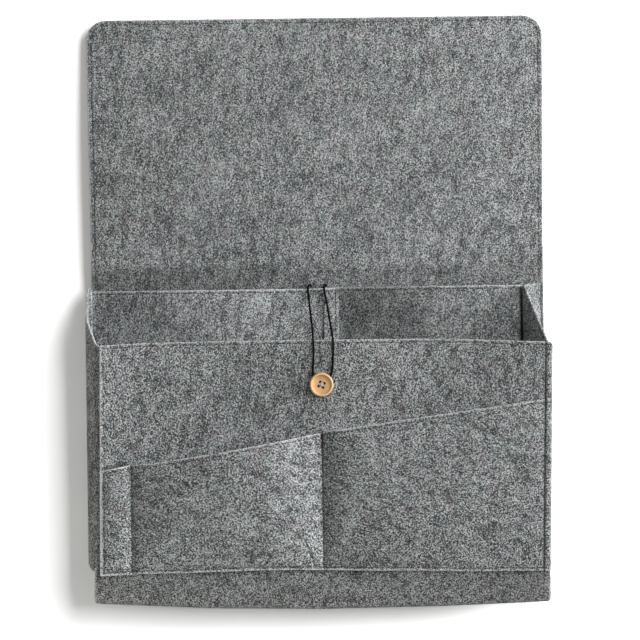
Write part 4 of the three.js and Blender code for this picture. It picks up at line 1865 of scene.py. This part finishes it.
def buildButtonThread():
    middle = np.array([bx, button["rear"], bz])
    routes = []
    for k in range(2):
        a = holeAngle(k)
        along = np.array([math.cos(a), 0, math.sin(a)])
        aside = np.array([-math.sin(a), 0, math.cos(a)]) * buttonThread["strandGap"]
        for shift in (-0.5, 0.5):
            start = middle + aside * shift
            points = [start + along * s + np.array([0, -h, 0]) for s, h in strandStops(k)]
            route = smoothRoute(points, buttonThread["perSpan"])
            routes.append((route, buttonThread["radius"], buttonThread["sides"]))
    # thread wound round the shank between the button and the felt
    wound = []
    for share in np.linspace(0, 1, buttonThread["windPoints"]):
        t = 2 * math.pi * buttonThread["windTurns"] * share
        down = buttonThread["windFrom"] + buttonThread["windLength"] * share
        wound.append(middle + np.array([math.cos(t), 0, math.sin(t)]) * buttonThread["windRadius"])
        wound[-1][1] += down
    routes.append((wound, buttonThread["windThread"], buttonThread["windSides"]))
    core = [middle + np.array([0, h, 0]) for h in buttonThread["coreStops"]]
    routes.append((core, buttonThread["coreRadius"], buttonThread["coreSides"]))
    meshes = [tubeMesh("strand", *route)[0] for route in routes]
    return addObject("buttonThread", joinMeshes("buttonThread", meshes))


threadObject = buildButtonThread()
threadObject.data.materials.append(cotton)
print("stage: button and thread", len(buttonObject.data.polygons))


# how the pieces move and what they stand for
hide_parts("back_panel", "flap")
for thing in (backObject, flapStitches):
    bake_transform(thing)


def flatten(thing):
    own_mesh(thing)


for thing, node, anchor, keep in (
    (leftObject, "left_gusset", "leftAnchor", "leftKeep"),
    (rightObject, "right_gusset", "anchor", "keep"),
    (bottomObject, "bottom_gusset", "anchor", "keep"),
    (dividerObject, "center_divider", "anchor", "keep"),
):
    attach(thing, "back")
    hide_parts(node)
    flatten(thing)
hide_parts("pocket_back")
for thing in (pocketBackObject, boxStitches):
    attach(thing, "back")
    flatten(thing)
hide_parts("front_panel")
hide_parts("front_pocket_sheet")
for thing in (frontObject, pocketObject, frontStitches, barTack):
    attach(thing, "front")
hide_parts("wooden_button")
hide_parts("button_thread")
for thing in (buttonObject, threadObject):
    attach(thing, "button")
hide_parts("elastic_loop")
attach(loopObject, "loop")
flatten(loopObject)

print("stage: pieces placed")


# stage in metres: a wall close behind, a floor far below
# a soft key from the upper right, a grazing strip from the right and a bounce from below, at the left
stage = {
    "wallGaps": [
        (-0.36, 0.006),
        (-0.16, 0.005),
        (0.02, 0.005),
        (0.13, 0.013),
        (0.2, 0.011),
        (0.34, 0.006),
        (1.2, 0.006),
    ],
    "wallLevel": 1.9,
    "halfWidth": 2.0,
    "floorZ": -0.36,
    "floorY": (-2.5, 2.0),
    "ambient": 0.22,
    "aim": (0, -0.03, 0.07),
}
lamps = {
    "keySoftbox": {
        "place": (1.38, -2.31, 1.015),
        "size": (1.15, 2.3),
        "power": 51.5,
        "colour": (1, 1, 1),
    },
    "sideStrip": {
        "place": (2.92, -0.69, 0.64),
        "size": (1.05, 1.05),
        "power": 118.0,
        "colour": (1, 1, 1),
    },
    "bounceCard": {
        "place": (-1.2, 0.0, -1.3),
        "size": (1.1, 1.1),
        "power": 15.0,
        "colour": (1, 0.96, 0.84),
    },
}


# seen by the camera from the front only, and no light comes back from it
def stageMaterial(name, level):
    material, tree, shader = newMaterial(name)
    nodes, links = tree.nodes, tree.links
    nodes.remove(shader)
    paint = nodes.new("ShaderNodeBsdfDiffuse")
    paint.inputs["Color"].default_value = (level, level, level, 1)
    clear = nodes.new("ShaderNodeBsdfTransparent")
    path = nodes.new("ShaderNodeLightPath")
    side = nodes.new("ShaderNodeNewGeometry")
    facing = mathNode(tree, "SUBTRACT", 1.0, side.outputs["Backfacing"])
    seen = mathNode(tree, "MULTIPLY", path.outputs["Is Camera Ray"], facing)
    mix = nodes.new("ShaderNodeMixShader")
    links.new(seen, mix.inputs[0])
    links.new(clear.outputs[0], mix.inputs[1])
    links.new(paint.outputs[0], mix.inputs[2])
    links.new(mix.outputs[0], nodes["Material Output"].inputs["Surface"])
    return material


def stageSweep(name, rows, material):
    verts = [(side * stage["halfWidth"], y, z) for y, z in rows for side in (-1, 1)]
    faces = [(2 * i, 2 * i + 1, 2 * i + 3, 2 * i + 2) for i in range(len(rows) - 1)]
    mesh = bpy.data.meshes.new(name)
    mesh.from_pydata(verts, [], faces)
    shadeSmooth(mesh)
    mesh.materials.append(material)
    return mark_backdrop(addObject(name, mesh))


wallPaint = stageMaterial("whiteSweep", stage["wallLevel"])
stageSweep("wall", [(gap, z) for z, gap in stage["wallGaps"]], wallPaint)
stageSweep("floor", [(y, stage["floorZ"]) for y in stage["floorY"]], wallPaint)

for name, lamp in lamps.items():
    lampData = bpy.data.lights.new(name, "AREA")
    lampData.shape = "RECTANGLE"
    lampData.size, lampData.size_y = lamp["size"]
    lampData.energy = lamp["power"]
    lampData.color = lamp["colour"]
    lampObject = bpy.data.objects.new(name, lampData)
    lampObject.location = lamp["place"]
    aim = Vector(stage["aim"]) - lampObject.location
    lampObject.rotation_euler = aim.to_track_quat("-Z", "Y").to_euler()
    scene.collection.objects.link(lampObject)

# white where the camera and reflections look, dimmer as a light
world = bpy.data.worlds.new("studio")
scene.world = world
world.use_nodes = True
sky = world.node_tree
rays = sky.nodes.new("ShaderNodeLightPath").outputs
mirrored = mathNode(sky, "MAXIMUM", rays["Is Glossy Ray"], rays["Is Transmission Ray"])
white = mathNode(sky, "MAXIMUM", rays["Is Camera Ray"], mirrored)
strength = mathNode(sky, "MULTIPLY_ADD", white, 1.0 - stage["ambient"])
strength.node.inputs[2].default_value = stage["ambient"]
background = sky.nodes["Background"].inputs
background["Color"].default_value = (1, 1, 1, 1)
sky.links.new(strength, background["Strength"])
print("stage: light and camera")
